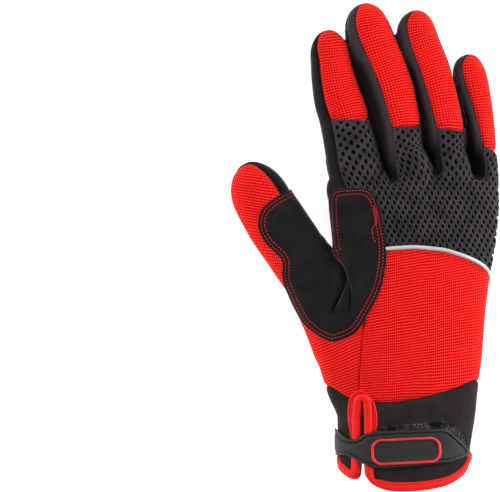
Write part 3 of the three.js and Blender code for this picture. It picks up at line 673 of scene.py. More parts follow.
def loft(bm, rings):
    loops = []
    for ring in rings:
        loops.append([bm.verts.new(Vector(p)) for p in ring])
    for a, b in zip(loops[:-1], loops[1:]):
        n = len(a)
        for i in range(n):
            bm.faces.new((a[i], a[(i + 1) % n], b[(i + 1) % n], b[i]))
    bm.faces.new(loops[0][::-1])
    bm.faces.new(loops[-1])


def kept_apart(name, rings):
    """Rings of a finger, pressed in below or above where another finger lies over or under it."""
    if name == "thumb":
        return rings
    flat = np.concatenate(rings)
    moved = flat.copy()
    limb = limbs[name]
    mine = limb.coordinates(flat)
    k = np.clip(np.searchsorted(limb.s, mine[:, 0]), 0, len(limb.s) - 1)
    for other in FINGERS:
        if abs(FINGERS.index(other) - FINGERS.index(name)) != 1:
            continue
        side = 1 if FINGERS.index(other) > FINGERS.index(name) else -1
        crotch = CROTCHES[min(FINGERS.index(other), FINGERS.index(name))][1] * GLOVE_LENGTH
        gap = limbs[other].coordinates(flat)[:, 2]
        upper = smooth_step(-3, 3, mine[:, 4])
        share = 1 - upper if side > 0 else upper
        push = np.clip(FINGER_SPACE - gap, 0, DEEPEST_PRESS) * share
        push = push * smooth_step(crotch + 7, crotch + 13, flat[:, 1]) * (mine[:, 3] * side > 0)
        moved -= side * push[:, None] * limb.across[k]
    sides = len(rings[0])
    return [moved[i : i + sides] for i in range(0, len(moved), sides)]


def hand_form():
    """The whole glove as one smooth closed skin: points and quads, in millimetres."""
    bm = bmesh.new()
    loft(bm, hand_rings())
    for name, limb in limbs.items():
        loft(bm, kept_apart(name, limb.rings(40)))
    bmesh.ops.recalc_face_normals(bm, faces=bm.faces)
    mesh = bpy.data.meshes.new("form")
    bm.to_mesh(mesh)
    bm.free()
    form = bpy.data.objects.new("form", mesh)
    bpy.context.scene.collection.objects.link(form)
    remesh = form.modifiers.new("remesh", "REMESH")
    remesh.mode = "VOXEL"
    remesh.voxel_size = VOXEL
    smooth = form.modifiers.new("smooth", "SMOOTH")
    smooth.factor = 0.5
    smooth.iterations = 8
    dg = bpy.context.evaluated_depsgraph_get()
    done = form.evaluated_get(dg).to_mesh()
    co = np.zeros(len(done.vertices) * 3)
    done.vertices.foreach_get("co", co)
    quads = [tuple(p.vertices) for p in done.polygons]
    bpy.data.objects.remove(form)
    return co.reshape(-1, 3), quads


class Skin:
    """A surface in millimetres: points, faces and named values at each point."""

    def __init__(self, points, faces, values):
        self.points = points
        self.faces = faces
        self.values = values

    def cut(self, field, level=0.0, above_only=False):
        """Splits the faces along a level of a field, and returns the new surface with the
        segments of the split."""
        g = self.values[field] - level
        g = np.where(np.abs(g) < 1e-4, 1e-4, g)
        up = g > 0
        made, new, segments = {}, [], []
        count = len(self.points)

        def crossing(a, b):
            key = (a, b) if a < b else (b, a)
            if key not in made:
                made[key] = count + len(new)
                new.append((key[0], key[1], g[key[0]] / (g[key[0]] - g[key[1]])))
            return made[key]

        faces = []
        for f in self.faces:
            sides = [up[i] for i in f]
            if all(sides):
                faces.append(f)
                continue
            if not any(sides):
                if not above_only:
                    faces.append(f)
                continue
            over, under, marks = [], [], []
            n = len(f)
            for k in range(n):
                a, b = f[k], f[(k + 1) % n]
                (over if up[a] else under).append(a)
                if up[a] != up[b]:
                    c = crossing(a, b)
                    over.append(c)
                    under.append(c)
                    marks.append(c)
            if len(over) > 2:
                faces.append(tuple(over))
            if not above_only and len(under) > 2:
                faces.append(tuple(under))
            if len(marks) == 2:
                segments.append(tuple(marks))
        if new:
            ia = np.array([r[0] for r in new])
            ib = np.array([r[1] for r in new])
            t = np.array([r[2] for r in new])

            def mixed(v):
                w = t if v.ndim == 1 else t[:, None]
                return np.concatenate((v, v[ia] * (1 - w) + v[ib] * w))
        else:
            def mixed(v):
                return v

        return Skin(mixed(self.points), faces, {k: mixed(v) for k, v in self.values.items()}), segments

    def tidied(self):
        """The surface without the points that no face uses."""
        used = np.zeros(len(self.points), bool)
        for f in self.faces:
            for i in f:
                used[i] = True
        place = np.cumsum(used) - 1
        faces = [tuple(int(place[i]) for i in f) for f in self.faces]
        return Skin(self.points[used], faces, {k: v[used] for k, v in self.values.items()})

    def main_part(self):
        """The surface without loose crumbs: its parts with over a twentieth of its faces."""
        root = list(range(len(self.points)))

        def find(i):
            while root[i] != i:
                root[i] = root[root[i]]
                i = root[i]
            return i

        for f in self.faces:
            a = find(f[0])
            for i in f[1:]:
                b = find(i)
                if a != b:
                    root[b] = a
        sizes = {}
        for f in self.faces:
            r = find(f[0])
            sizes[r] = sizes.get(r, 0) + 1
        least = sum(sizes.values()) / 20
        faces = [f for f in self.faces if sizes[find(f[0])] >= least]
        return Skin(self.points, faces, self.values).tidied()


def point_normals(points, faces):
    """Normals of a surface at its points, with large faces counting for more."""
    normals = np.zeros_like(points)
    by_size = {}
    for f in faces:
        by_size.setdefault(len(f), []).append(f)
    for size, group in by_size.items():
        idx = np.array(group)
        p = points[idx]
        nxt = np.roll(p, -1, axis=1)
        n = np.cross(p, nxt).sum(1)
        for k in range(size):
            np.add.at(normals, idx[:, k], n)
    return normals / np.maximum(1e-12, np.linalg.norm(normals, axis=1))[:, None]


def neighbour_edges(faces):
    pairs = set()
    for f in faces:
        n = len(f)
        for k in range(n):
            a, b = f[k], f[(k + 1) % n]
            pairs.add((a, b) if a < b else (b, a))
    return np.array(sorted(pairs))


def smoothed(values, edges, rounds, pull=0.5):
    """Values at points evened out with those of their neighbours."""
    n = len(values)
    first, second = edges.T
    degree = np.maximum(1, np.bincount(edges.ravel(), minlength=n))
    v = values.reshape(n, -1)
    for _ in range(rounds):
        columns = [np.bincount(first, c[second], n) + np.bincount(second, c[first], n) for c in v.T]
        mean = np.stack(columns, 1) / degree[:, None]
        v = v + pull * (mean - v)
    return v.reshape(values.shape)


# The form and where each of its points lies
points, quads = hand_form()
points[:, 2] = np.maximum(points[:, 2], 0.0)
links = neighbour_edges(quads)
normals = unit(smoothed(point_normals(points, quads), links, 2))

CREASES = [
    # depth, width, then places as (across, along)
    (2.6, 1.5, ((-0.44, 0.475), (-0.414, 0.45), (-0.406, 0.429),
                (-0.416, 0.404), (-0.458, 0.372), (-0.476, 0.362))),
    (2.4, 1.3, ((-0.42, 0.462), (-0.38, 0.429), (-0.37, 0.404), (-0.374, 0.367))),
]
for depth, width, places in CREASES:
    line = hermite_line([(a * PALM_WIDTH, b * GLOVE_LENGTH) for a, b in places], step=1.0)
    away = distance_to_line(line, points[:, :2])
    ends = np.minimum(points[:, 1] - line[-1, 1], line[0, 1] - points[:, 1])
    dent = depth * groove(away, width) - 0.35 * depth * groove(away - 3.6, 2.0)
    dent *= smooth_step(-3, 5, ends) * (points[:, 2] > SPLIT_HEIGHT)
    points = points - normals * dent[:, None]
normals = unit(smoothed(point_normals(points, quads), links, 1))

X, Y, Z = points[:, 0], points[:, 1], points[:, 2]
XY = points[:, :2]
ALONG = Y / GLOVE_LENGTH
left, right, low, high = hand_rows(ALONG)
ca = (X - (left + right) / 2) / ((right - left) / 2)
cb = (Z - (low + high) / 2) / ((high - low) / 2)
n = PALM_SQUARENESS / 2
HAND_ANGLE = np.degrees(np.arctan2(np.sign(cb) * np.abs(cb) ** n, np.sign(ca) * np.abs(ca) ** n))
limb_at = {name: limb.coordinates(points) for name, limb in limbs.items()}
nearest = np.argmin(np.stack([limb_at[f][:, 2] for f in FINGERS]), axis=0)
over = smooth_step(SPLIT_HEIGHT - 3, SPLIT_HEIGHT + 3, Z)
thumb_over = smooth_step(9, 14, Z)

# Where each point shows from straight above, at the height that the tables are measured at
SEEN = VIEW_MIDDLE + (XY - VIEW_MIDDLE) * ((VIEW_DISTANCE - VIEW_HEIGHT) / (VIEW_DISTANCE - Z))[:, None]


def true_distance(field):
    """A field made to grow by one for each millimetre over the surface."""
    rise = (field[links[:, 0]] - field[links[:, 1]]) ** 2
    run = ((points[links[:, 0]] - points[links[:, 1]]) ** 2).sum(1)
    slope = rise / np.maximum(run, 1e-6)
    n = len(points)
    total = np.bincount(links[:, 0], slope, n) + np.bincount(links[:, 1], slope, n)
    degree = np.bincount(links.ravel(), minlength=n)
    steep = np.sqrt(2 * total / np.maximum(1, degree))
    steep = smoothed(steep, links, 3)
    return field / np.clip(steep, 0.35, 3.0)


def blend_sides(under, above):
    return under * (1 - over) + above * over


def line_field(rows, places):
    line = outline(rows, closed=False, step=2.0)
    return places[:, 1] - np.interp(places[:, 0], line[:, 0], line[:, 1])


cuff_seam = blend_sides(line_field(CUFF_SEAM_PALM, XY), line_field(CUFF_SEAM_BACK, SEEN))
mouth = blend_sides(line_field(MOUTH_EDGE_PALM, XY), line_field(MOUTH_EDGE, XY))
slit_line = np.interp(Y, *zip(*SLIT_HALF_WIDTHS))
slit = np.hypot(X - SLIT_ACROSS * PALM_WIDTH, np.maximum(0, Y - SLIT_TOP * GLOVE_LENGTH)) - slit_line
slit = np.where(Z > SPLIT_HEIGHT, slit, 60)
thumb_zone = distance_in(outline(THUMB_OUTLINE), XY)
red_under = distance_in(outline(RED_SIDE_OUTLINE), XY)
thumb_red = red_under * (1 - thumb_over) + distance_in(outline(THUMB_BACK_OUTLINE), XY) * thumb_over
side_red = blend_sides(red_under, distance_in(outline(BACK_SEAM), SEEN))
piping = true_distance(Y - table_at(PIPING_LINE, 0, HAND_ANGLE, 1) * GLOVE_LENGTH)
outer = (HAND_ANGLE - table_at(OUTER_SEAM, 0, ALONG, 1)) * math.radians(1) * SPLIT_HEIGHT
mesh_left = X - table_at(MESH_EDGE, 0, ALONG, 1) * PALM_WIDTH
mesh_left = np.where(X < -10, np.minimum(mesh_left, Z - SPLIT_HEIGHT + 1), 50)
outer = np.where((X < 0) & (Z < SPLIT_HEIGHT), -20, np.where(X < 0, 40, outer))

# Round each finger: its back, the side strips and the palm side
angle = np.zeros(len(points))
arc = np.zeros(len(points))
to_tip = np.zeros(len(points))
for i, f in enumerate(FINGERS):
    mine = nearest == i
    angle[mine] = limb_at[f][mine, 1]
    arc[mine] = limb_at[f][mine, 0]
    to_tip[mine] = limbs[f].length - limb_at[f][mine, 0]
angle = np.where(angle < -120, angle + 360, angle)
reach = np.choose(nearest, [(FINGER_WIDTH[f] + FINGER_DEPTH[f]) / 4 for f in FINGERS]) * math.radians(1)
closing = 1 - smooth_step(-2, 16, to_tip)
near_crotch = np.zeros(len(points))
for i, f in enumerate(FINGERS):
    last = CROTCHES[max(0, i - 1)][1] * GLOVE_LENGTH
    near_crotch = np.where(nearest == i, 1 - smooth_step(last, last + 14, Y), near_crotch)
to_tip = np.choose(nearest, [limbs[f].s[-1] for f in FINGERS]) - arc
start = np.choose(nearest, [FINGER_BACKS[f][0] for f in FINGERS]) - 22 * closing * (nearest != 0)
start = start + 20 * (nearest == 0) * (1 - smooth_step(2, 10, to_tip))
end = np.choose(nearest, [table_at(FAR_EDGES[f], 0, ALONG, 1) for f in FINGERS])
palm_from = PALM_SIDE_FROM - 20 * closing + 25 * near_crotch
palm_to = PALM_SIDE_TO - 360 + 20 * closing - 45 * near_crotch
back_of_finger = np.minimum(angle - start, end - angle) * reach
hem = np.zeros(len(points))
for i, f in enumerate(FINGERS):
    row = FINGER_BACKS[f]
    limb = limbs[f]
    k = np.argmin(np.abs(limb.middle[:, 1] - row[1] * GLOVE_LENGTH))
    line = row[1] * GLOVE_LENGTH + row[2] * (X - limb.middle[k, 0])
    hem = np.where(nearest == i, Y - line, hem)
forks = []
for i in range(3):
    right_side = np.minimum(angle - palm_to, start - angle) * reach
    left_side = np.minimum(angle - end, palm_from - angle) * reach
    field = np.where(nearest == i, right_side, np.where(nearest == i + 1, left_side, -12))
    field = soft_min(field, Y - CROTCHES[i][1] * GLOVE_LENGTH + 1.5, 4)
    forks.append(smoothed(field, links, 3))
fork = np.max(forks, axis=0)
for i in range(3):
    bottom = CROTCHES[i][1] * GLOVE_LENGTH
    here = smooth_step(0.3, 3.0, forks[i]) * smooth_step(8, 18, Z)
    points[:, 2] -= SLOT_DEPTH * (here * (1 - smooth_step(bottom + 2, bottom + 16, Y)))
wrap = np.minimum(np.where(nearest == 0, end, PALM_SIDE_FROM) - angle, angle + 60)
wrap = np.where(nearest == 3, np.minimum(PALM_SIDE_FROM - angle, angle - start), wrap) * reach
beyond = smooth_step(150, 162, Y)
back_side = np.minimum(outer, mesh_left) * (1 - beyond) + wrap * beyond
back_side = smoothed(back_side, links, 2)

SEAM = 0.1
hand = np.minimum(cuff_seam, -thumb_zone)
plain = np.minimum(hand, -side_red)
mesh_zone = np.minimum(back_side, piping)
FIELDS = {
    "thumb_back": np.minimum(np.minimum(thumb_zone, thumb_red), cuff_seam),
    "thumb_front": np.minimum(np.minimum(thumb_zone, -thumb_red), cuff_seam),
    "thumb_side_panel": np.minimum(hand, side_red),
    "back_panel": np.minimum(np.minimum(plain, outer), -piping),
    "knuckle_mesh": np.minimum(np.minimum(plain, mesh_zone), np.minimum(-hem, -fork)),
    "cuff": np.minimum(np.minimum(-cuff_seam, mouth - 3.2), slit),
}
for i, f in enumerate(FINGERS):
    FIELDS["finger_back_" + f] = np.where(nearest == i, np.minimum(back_of_finger, hem), -12)
FOURCHETTES = ["fourchette_%s_%s" % pair for pair in zip(FINGERS[:-1], FINGERS[1:])]
for name, field in zip(FOURCHETTES, forks):
    FIELDS[name] = np.minimum(field, plain)
taken = np.max([v for k, v in FIELDS.items() if k != "cuff"], axis=0)
FIELDS["palm_panel"] = np.minimum(plain, -taken)
for key in FIELDS:
    FIELDS[key] = smoothed(FIELDS[key], links, 1) - SEAM
LIMB_VALUES = {"normal_x": normals[:, 0], "normal_y": normals[:, 1], "normal_z": normals[:, 2]}


def surface_of(field, values, low=-1.5):
    """A copy of the form near where a field is positive, with values to carry along."""
    inside = field > low
    faces = [q for q in quads if inside[q[0]] or inside[q[1]] or inside[q[2]] or inside[q[3]]]
    return Skin(points, faces, {"g": field, **values}).tidied()


def made_mesh(name, points_mm, faces, uvs=None):
    """A mesh object in the frame's metres from points in millimetres."""
    mesh = bpy.data.meshes.new(name)
    places = ((points_mm - ORIGIN) * MM).tolist()
    mesh.from_pydata(places, [], [list(map(int, f)) for f in faces])
    mesh.validate()
    mesh.update()
    for polygon in mesh.polygons:
        polygon.use_smooth = True
    if uvs is not None:
        cloth = mesh.uv_layers.new(name="cloth")
        loops = np.zeros(len(mesh.loops), np.int32)
        mesh.loops.foreach_get("vertex_index", loops)
        cloth.data.foreach_set("uv", uvs[loops].astype(np.float32).ravel())
    obj = bpy.data.objects.new(name, mesh)
    bpy.context.scene.collection.objects.link(obj)
    return obj


def rim_edges(faces):
    """The open edges of a surface, each in the direction of its face."""
    seen = {}
    for f in faces:
        n = len(f)
        for k in range(n):
            a, b = f[k], f[(k + 1) % n]
            if (b, a) in seen:
                del seen[(b, a)]
            else:
                seen[(a, b)] = True
    return list(seen)


def closed_sheet(skin, outer_lift, inner_lift):
    """Points and faces of a closed piece between two lifts of a surface along its normals."""
    top = raised(skin, outer_lift)
    bottom = raised(skin, inner_lift)
    top[:, 2] = np.maximum(top[:, 2], 0.0)
    bottom[:, 2] = np.maximum(bottom[:, 2], 0.15)
    count = len(top)
    faces = list(skin.faces)
    faces += [tuple(i + count for i in f[::-1]) for f in skin.faces]
    faces += [(b, a, a + count, b + count) for a, b in rim_edges(skin.faces)]
    return np.concatenate((top, bottom)), faces


def tube_faces(base, rings, sides):
    """Faces of a closed tube whose rings of points follow one another from a base number."""
    faces = []
    for k in range(rings - 1):
        for i in range(sides):
            c = base + k * sides + i
            d = base + k * sides + (i + 1) % sides
            faces.append((c, d, d + sides, c + sides))
    faces.append(tuple(base + i for i in range(sides))[::-1])
    faces.append(tuple(base + (rings - 1) * sides + i for i in range(sides)))
    return faces


# Stitches
STITCH_LENGTH = 1.3
STITCH_STEP = 1.7
STITCH_RADIUS = 0.21
STITCH_SIDES = 6
STITCH_PROFILE = [(-0.5, 0.35), (-0.4, 0.85), (-0.15, 1.0), (0.15, 1.0), (0.4, 0.85), (0.5, 0.35)]
stitch_rows = {}


def chained(segments):
    """Lines of point numbers from loose segments."""
    beside = {}
    for a, b in segments:
        if a != b:
            beside.setdefault(a, set()).add(b)
            beside.setdefault(b, set()).add(a)
    lines = []
    ends = [p for p, others in beside.items() if len(others) == 1]
    for start_point in ends + list(beside):
        if not beside.get(start_point):
            continue
        line = [start_point]
        while beside[line[-1]]:
            step = min(beside[line[-1]])
            beside[line[-1]].discard(step)
            beside[step].discard(line[-1])
            line.append(step)
        lines.append(line)
    return lines


def stitch_along(group, points_mm, normals_mm, segments, keep=None, least=6):
    """Adds stitches along chains of surface points to a named group."""
    for line in chained(segments):
        p = points_mm[line]
        n = normals_mm[line]
        if keep is not None:
            mask = keep[line]
            runs = np.split(np.arange(len(line)), np.flatnonzero(np.diff(mask.astype(int))) + 1)
            runs = [r for r in runs if mask[r[0]]]
        else:
            runs = [np.arange(len(line))]
        for r in runs:
            if len(r) < 3:
                continue
            q, m = p[r], n[r]
            s = np.concatenate(([0], np.cumsum(np.linalg.norm(np.diff(q, axis=0), axis=1))))
            if s[-1] < least:
                continue
            count = max(1, int(round(s[-1] / STITCH_STEP)))
            middles = (np.arange(count) + 0.5) * s[-1] / count
            half = STITCH_LENGTH / 2
            at = [np.interp(middles + d, s, q[:, i]) for d in (-half, half) for i in range(3)]
            normal = np.stack([np.interp(middles, s, m[:, i]) for i in range(3)], 1)
            stitch_rows.setdefault(group, []).append((np.stack(at[:3], 1), np.stack(at[3:], 1), normal))


def stitch_mesh(group):
    """One mesh of small rounded stitches for a group."""
    turn = np.arange(STITCH_SIDES) * 2 * math.pi / STITCH_SIDES
    pts, faces = [], []
    for starts, stops, ups in stitch_rows[group]:
        for a, b, up in zip(starts, stops, ups):
            way = b - a
            length = np.linalg.norm(way)
            if length < 0.3:
                continue
            way = way / length
            up = up - (up @ way) * way
            up = up / max(1e-6, np.linalg.norm(up))
            side = np.cross(way, up)
            middle = (a + b) / 2 + up * 0.05
            base = len(pts)
            for reach, size in STITCH_PROFILE:
                lift = -0.22 * (2 * reach) ** 4
                for t in turn:
                    around = side * math.cos(t) * 1.15 + up * math.sin(t) * 0.8
                    pts.append(middle + way * reach * length + up * lift + around * STITCH_RADIUS * size)
            faces += tube_faces(base, len(STITCH_PROFILE), STITCH_SIDES)
    return np.array(pts), faces


# Panels and layers
def sheet_of(field, values, levels, rows=()):
    """The surface where a field is positive, split along levels and rows of (value, level)."""
    skin = surface_of(field, {**LIMB_VALUES, **values})
    skin, _ = skin.cut("g", 0.0, above_only=True)
    skin = skin.tidied().main_part()
    for level in levels:
        skin, _ = skin.cut("g", level)
    found = []
    for value, level in rows:
        skin, segments = skin.cut(value, level)
        found.append(segments)
    return skin, found


def skin_normals(skin):
    normal = np.stack([skin.values["normal_" + c] for c in "xyz"], 1)
    return normal / np.maximum(1e-9, np.linalg.norm(normal, axis=1))[:, None]


def dressed(name, skin, lift, inner):
    """A closed piece between two lifts of a surface, with its cloth coordinates."""
    pts, faces = closed_sheet(skin, lift, inner)
    uvs = np.stack((skin.values["u"], skin.values["v"]), 1)
    return made_mesh(name, pts, faces, np.concatenate((uvs, uvs)))


def raised(skin, lift):
    return skin.points + skin_normals(skin) * lift[:, None]


SEAM_LEVELS = (0.3, 0.7, 1.3, 2.2, 3.4)


def panel(name, material, uv, thickness=1.5, dip=0.8, puff=0.4, rows=(), values=None):
    """A cloth panel cut from the form, its edges turned in at the seams, with its stitch rows."""
    carried = {"u": uv[0], "v": uv[1], **(values or {})}
    skin, found = sheet_of(FIELDS[name], carried, SEAM_LEVELS, [(r[0], r[1]) for r in rows])
    g = skin.values["g"]
    lift = puff * (1 - np.exp(-g / 3.0)) - dip * groove(g, 1.0)
    for row in rows:
        lift -= 0.22 * groove(skin.values[row[0]] - row[1], 0.55)
    stitched_piece(name, skin, lift, -thickness, material, rows, found)


def finish_piece(obj, material, nodes=()):
    obj.data.materials.append(material)
    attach(obj, "root")
    if nodes:
        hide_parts(*nodes)


def stitched_piece(name, skin, lift, inner, material, rows, found):
    """A closed piece with a flat inner side, and stitches along the lines found for its rows."""
    obj = dressed(name, skin, lift, np.full(len(lift), inner))
    outside = raised(skin, lift)
    outside[:, 2] = np.maximum(outside[:, 2], 0.0)
    for row, segments in zip(rows, found):
        keep = skin.values[row[3]] > 0 if len(row) > 3 else None
        stitch_along(row[2], outside, skin_normals(skin), segments, keep)
    finish_piece(obj, material, [name])
    return obj


def layer(name, field, material, uv, low, high, edge=0.9, rows=(),
          levels=(0.12, 0.35, 0.7, 1.1), shape=None, values=None):
    """A patch laid on the skin with a rounded edge, with its stitch rows."""
    carried = {"u": uv[0], "v": uv[1], **(values or {})}
    skin, found = sheet_of(field, carried, levels, [(r[0], r[1]) for r in rows])
    g = skin.values["g"]
    round_edge = rounded(g / edge, 0.05)
    lift = low + (high - low) * round_edge
    for row in rows:
        lift -= 0.3 * groove(skin.values[row[0]] - row[1], 0.6)
    if shape is not None:
        lift += shape(skin) * round_edge
    return stitched_piece(name, skin, lift, low - 0.25, material, rows, found)


# Materials
class Shader:
    """A material's nodes, made one at a time and joined by their sockets."""

    def __init__(self, name):
        self.material = bpy.data.materials.new(name)
        self.material.use_nodes = True
        self.tree = self.material.node_tree
        self.surface = self.tree.nodes["Principled BSDF"]

    def node(self, kind, settings=None, inputs=None):
        made = self.tree.nodes.new("ShaderNode" + kind)
        for key, value in (settings or {}).items():
            setattr(made, key, value)
        for key, value in (inputs or {}).items():
            self.join(made.inputs[key], value)
        return made

    def join(self, socket, value):
        if isinstance(value, Value):
            value = value.socket
        if isinstance(value, bpy.types.NodeSocket):
            self.tree.links.new(value, socket)
        else:
            socket.default_value = value

    def value(self, socket):
        return Value(self, socket)

    def cloth(self):
        """The cloth's own two coordinates, in millimetres."""
        uv = self.node("UVMap", {"uv_map": "cloth"})
        split = self.node("SeparateXYZ", None, {0: uv.outputs[0]})
        return self.value(split.outputs[0]), self.value(split.outputs[1])

    def place(self, scale=1000):
        """The object's coordinates, in millimetres unless scaled otherwise."""
        here = self.node("TexCoord").outputs["Object"]
        return self.node("VectorMath", {"operation": "SCALE"}, {0: here, 3: scale}).outputs[0]

    def noise(self, vector, scale, detail=2.0, rough=0.5):
        inputs = {"Vector": vector, "Scale": scale, "Detail": detail, "Roughness": rough}
        return self.value(self.node("TexNoise", None, inputs).outputs[0])

    def mix(self, share, first, second):
        return self.node("Mix", {"data_type": "RGBA"}, {0: share, 6: first, 7: second}).outputs[2]

    def bump(self, height, distance, strength=1.0):
        made = self.node("Bump", None, {"Height": height, "Distance": distance, "Strength": strength})
        self.tree.links.new(made.outputs[0], self.surface.inputs["Normal"])

    def set(self, **inputs):
        for key, value in inputs.items():
            self.join(self.surface.inputs[key.replace("_", " ").title().replace("Ior", "IOR")], value)


class Value:
    """A number in a shader that can be reckoned with."""

    def __init__(self, shader, socket):
        self.shader = shader
        self.socket = socket

    def maths(self, operation, *others):
        inputs = {0: self.socket}
        for i, other in enumerate(others):
            inputs[i + 1] = other
        made = self.shader.node("Math", {"operation": operation}, inputs)
        return Value(self.shader, made.outputs[0])

    def __add__(self, other):
        return self.maths("ADD", other)

    def __sub__(self, other):
        return self.maths("SUBTRACT", other)

    def __rsub__(self, other):
        made = self.shader.node("Math", {"operation": "SUBTRACT"}, {0: other, 1: self.socket})
        return Value(self.shader, made.outputs[0])

    def __mul__(self, other):
        return self.maths("MULTIPLY", other)

    def sine(self):
        return self.maths("SINE")

    def wave(self, length, shift=0.0):
        """A wave between 0 and 1 that repeats at a length."""
        return (self * (2 * math.pi / length) + shift).sine() * 0.5 + 0.5

    def between(self, low, high):
        """A soft step from 0 at a low value to 1 at a high one."""
        settings = {"interpolation_type": "SMOOTHSTEP"}
        made = self.shader.node("MapRange", settings, {0: self.socket, 1: low, 2: high})
        return Value(self.shader, made.outputs[0])


def knit_material(name, deep, bright, lit):
    """Ribbed knit: rows across the cloth, crossed by columns of small pits. Its colour holds painted
    shade in the grooves between the rows and in the pits, and a painted orange highlight on the rows'
    crests; the fine noise is the yarn's own uneven tone.
    """
    shader = Shader(name)
    u, v = shader.cloth()
    place = shader.place()
    drift = (shader.noise(place, 0.05) - 0.5) * 2.4
    sway = (shader.noise(place, 0.09) - 0.5) * 0.8
    rib = (v + drift).wave(RIB_PITCH)
    column = (u + sway).wave(COLUMN_PITCH)
    fine = shader.noise(place, 1.6, 3.0)
    # A broad noise that decides where the painted shade in the pits shows
    pit_shade_spread = shader.noise(place, 0.06, 2.0)
    # Painted shade: the grooves between the rows darker than the crests, with the yarn's own uneven tone
    # mixed in
    shade = rib * 0.62 + column * 0.18 + fine * 0.22
    color = shader.mix(shade.between(0.15, 0.85), deep, bright)
    # Painted highlight: the orange lit colour laid on the rows' crests
    color = shader.mix((rib * (column * 0.7 + fine * 0.6)).between(0.35, 0.8), color, lit)
    # Painted shade: the pits darkened to half the groove colour, in patches
    pit = (1.0 - rib) * (1.15 - column)
    hole = tuple(c * 0.5 for c in deep[:3]) + (1,)
    color = shader.mix(pit.between(0.35, 0.9) * pit_shade_spread.between(0.25, 0.5), color, hole)
    shader.set(base_color=color, roughness=0.75, specular_ior_level=0.05)
    shader.set(sheen_weight=0.35, sheen_roughness=0.35, sheen_tint=(1.0, 0.26, 0.12, 1))
    shader.bump(rib * 0.75 + column * 0.35 + fine * 0.25, 0.0006, 0.8)
    return shader.material


def suede_material(name, dark, light, rough=0.9, grain=1.3, sheen=0.2, share=(0.3, 0.8)):
    """Brushed leather or felt-like cloth with a fine uneven nap."""
    shader = Shader(name)
    place = shader.place()
    fine = shader.noise(place, grain, 3.0, 0.6)
    broad = shader.noise(place, 0.12, 3.0)
    color = shader.mix((fine * 0.6 + broad * 0.5).between(*share), dark, light)
    shader.set(base_color=color, roughness=rough, specular_ior_level=0.1)
    shader.set(sheen_weight=sheen, sheen_roughness=0.3, sheen_tint=(1.0, 0.85, 0.95, 1))
    shader.bump(fine + broad * 0.6, 0.00022, 0.6)
    return shader.material


def strip_material(name, lit, dark, dim):
    """Smooth stretch cloth with painted shade that darkens it from its seam inwards, read from its first
    cloth coordinate.
    """
    shader = Shader(name)
    inward = shader.cloth()[0]
    fine = shader.noise(shader.place(), 2.2, 3.0, 0.6)
    color = shader.mix(fine.between(0.2, 0.8), dark, lit)
    # Painted shade: the first cloth coordinate mixes in the dim colour
    color = shader.mix(inward, color, dim)
    shader.set(base_color=color, roughness=0.75, specular_ior_level=0.1)
    shader.set(sheen_weight=0.3, sheen_roughness=0.3, sheen_tint=(0.9, 0.8, 0.86, 1))
    shader.bump(fine, 0.00012, 0.5)
    return shader.material


def plain_material(name, color, rough, metal=0.0, grain=0.0, specular=0.2):
    """One colour, with a little grain where it is asked for."""
    shader = Shader(name)
    shader.set(base_color=color, roughness=rough, metallic=metal, specular_ior_level=specular)
    if grain:
        shader.bump(shader.noise(shader.place(), grain, 2.0), 0.0001, 0.5)
    return shader.material


RIB_PITCH = 1.43
COLUMN_PITCH = 1.03
# Knit reds: dark red painted as shade in the grooves and pits, bright red on the crests, orange as a
# painted highlight on the crests
KNIT = knit_material("knit", (0.78, 0.001, 0.006, 1), (0.95, 0.004, 0.008, 1), (1.0, 0.062, 0.032, 1))
LEATHER = suede_material("leather", (0.0065, 0.0054, 0.006, 1), (0.0175, 0.0145, 0.0162, 1), sheen=0.4)
# Stretch cloth: two tones of its own grain, then the dim colour of its painted shade
STRETCH = strip_material("stretch", (0.056, 0.044, 0.049, 1), (0.026, 0.019, 0.022, 1),
                         (0.0022, 0.001, 0.0015, 1))
NEOPRENE = suede_material("neoprene", (0.012, 0.0105, 0.0098, 1), (0.026, 0.023, 0.0215, 1), 0.85, 2.0)
MESH_YARN = suede_material("mesh yarn", (0.010, 0.0085, 0.0095, 1), (0.056, 0.049, 0.054, 1), 0.7, 1.6)
# Near-black colour: painted shade standing in for the dark inside of the glove seen through the mesh
# holes
HOLE_SHADE = plain_material("hole_shade_sheet", (0.003, 0.003, 0.003, 1), 0.95, specular=0.05)
TAPE = plain_material("tape", (0.84, 0.01, 0.008, 1), 0.6, 0.0, 3.0)
THREAD = plain_material("thread", (0.6, 0.010, 0.012, 1), 0.55)
BINDING_THREAD = plain_material("binding thread", (0.3, 0.004, 0.006, 1), 0.6)
SILVER = plain_material("silver", (0.56, 0.56, 0.57, 1), 0.4, 0.2)
RUBBER = plain_material("rubber", (0.021, 0.0195, 0.0215, 1), 0.55, 0.0, 1.0, specular=0.3)
LOOPS = suede_material("loops", (0.0025, 0.0025, 0.0025, 1), (0.13, 0.125, 0.13, 1),
                       0.7, 1.2, 0.2, (0.5, 0.74))
BADGE_RED = plain_material("badge", (0.8, 0.025, 0.02, 1), 0.45, specular=0.4)

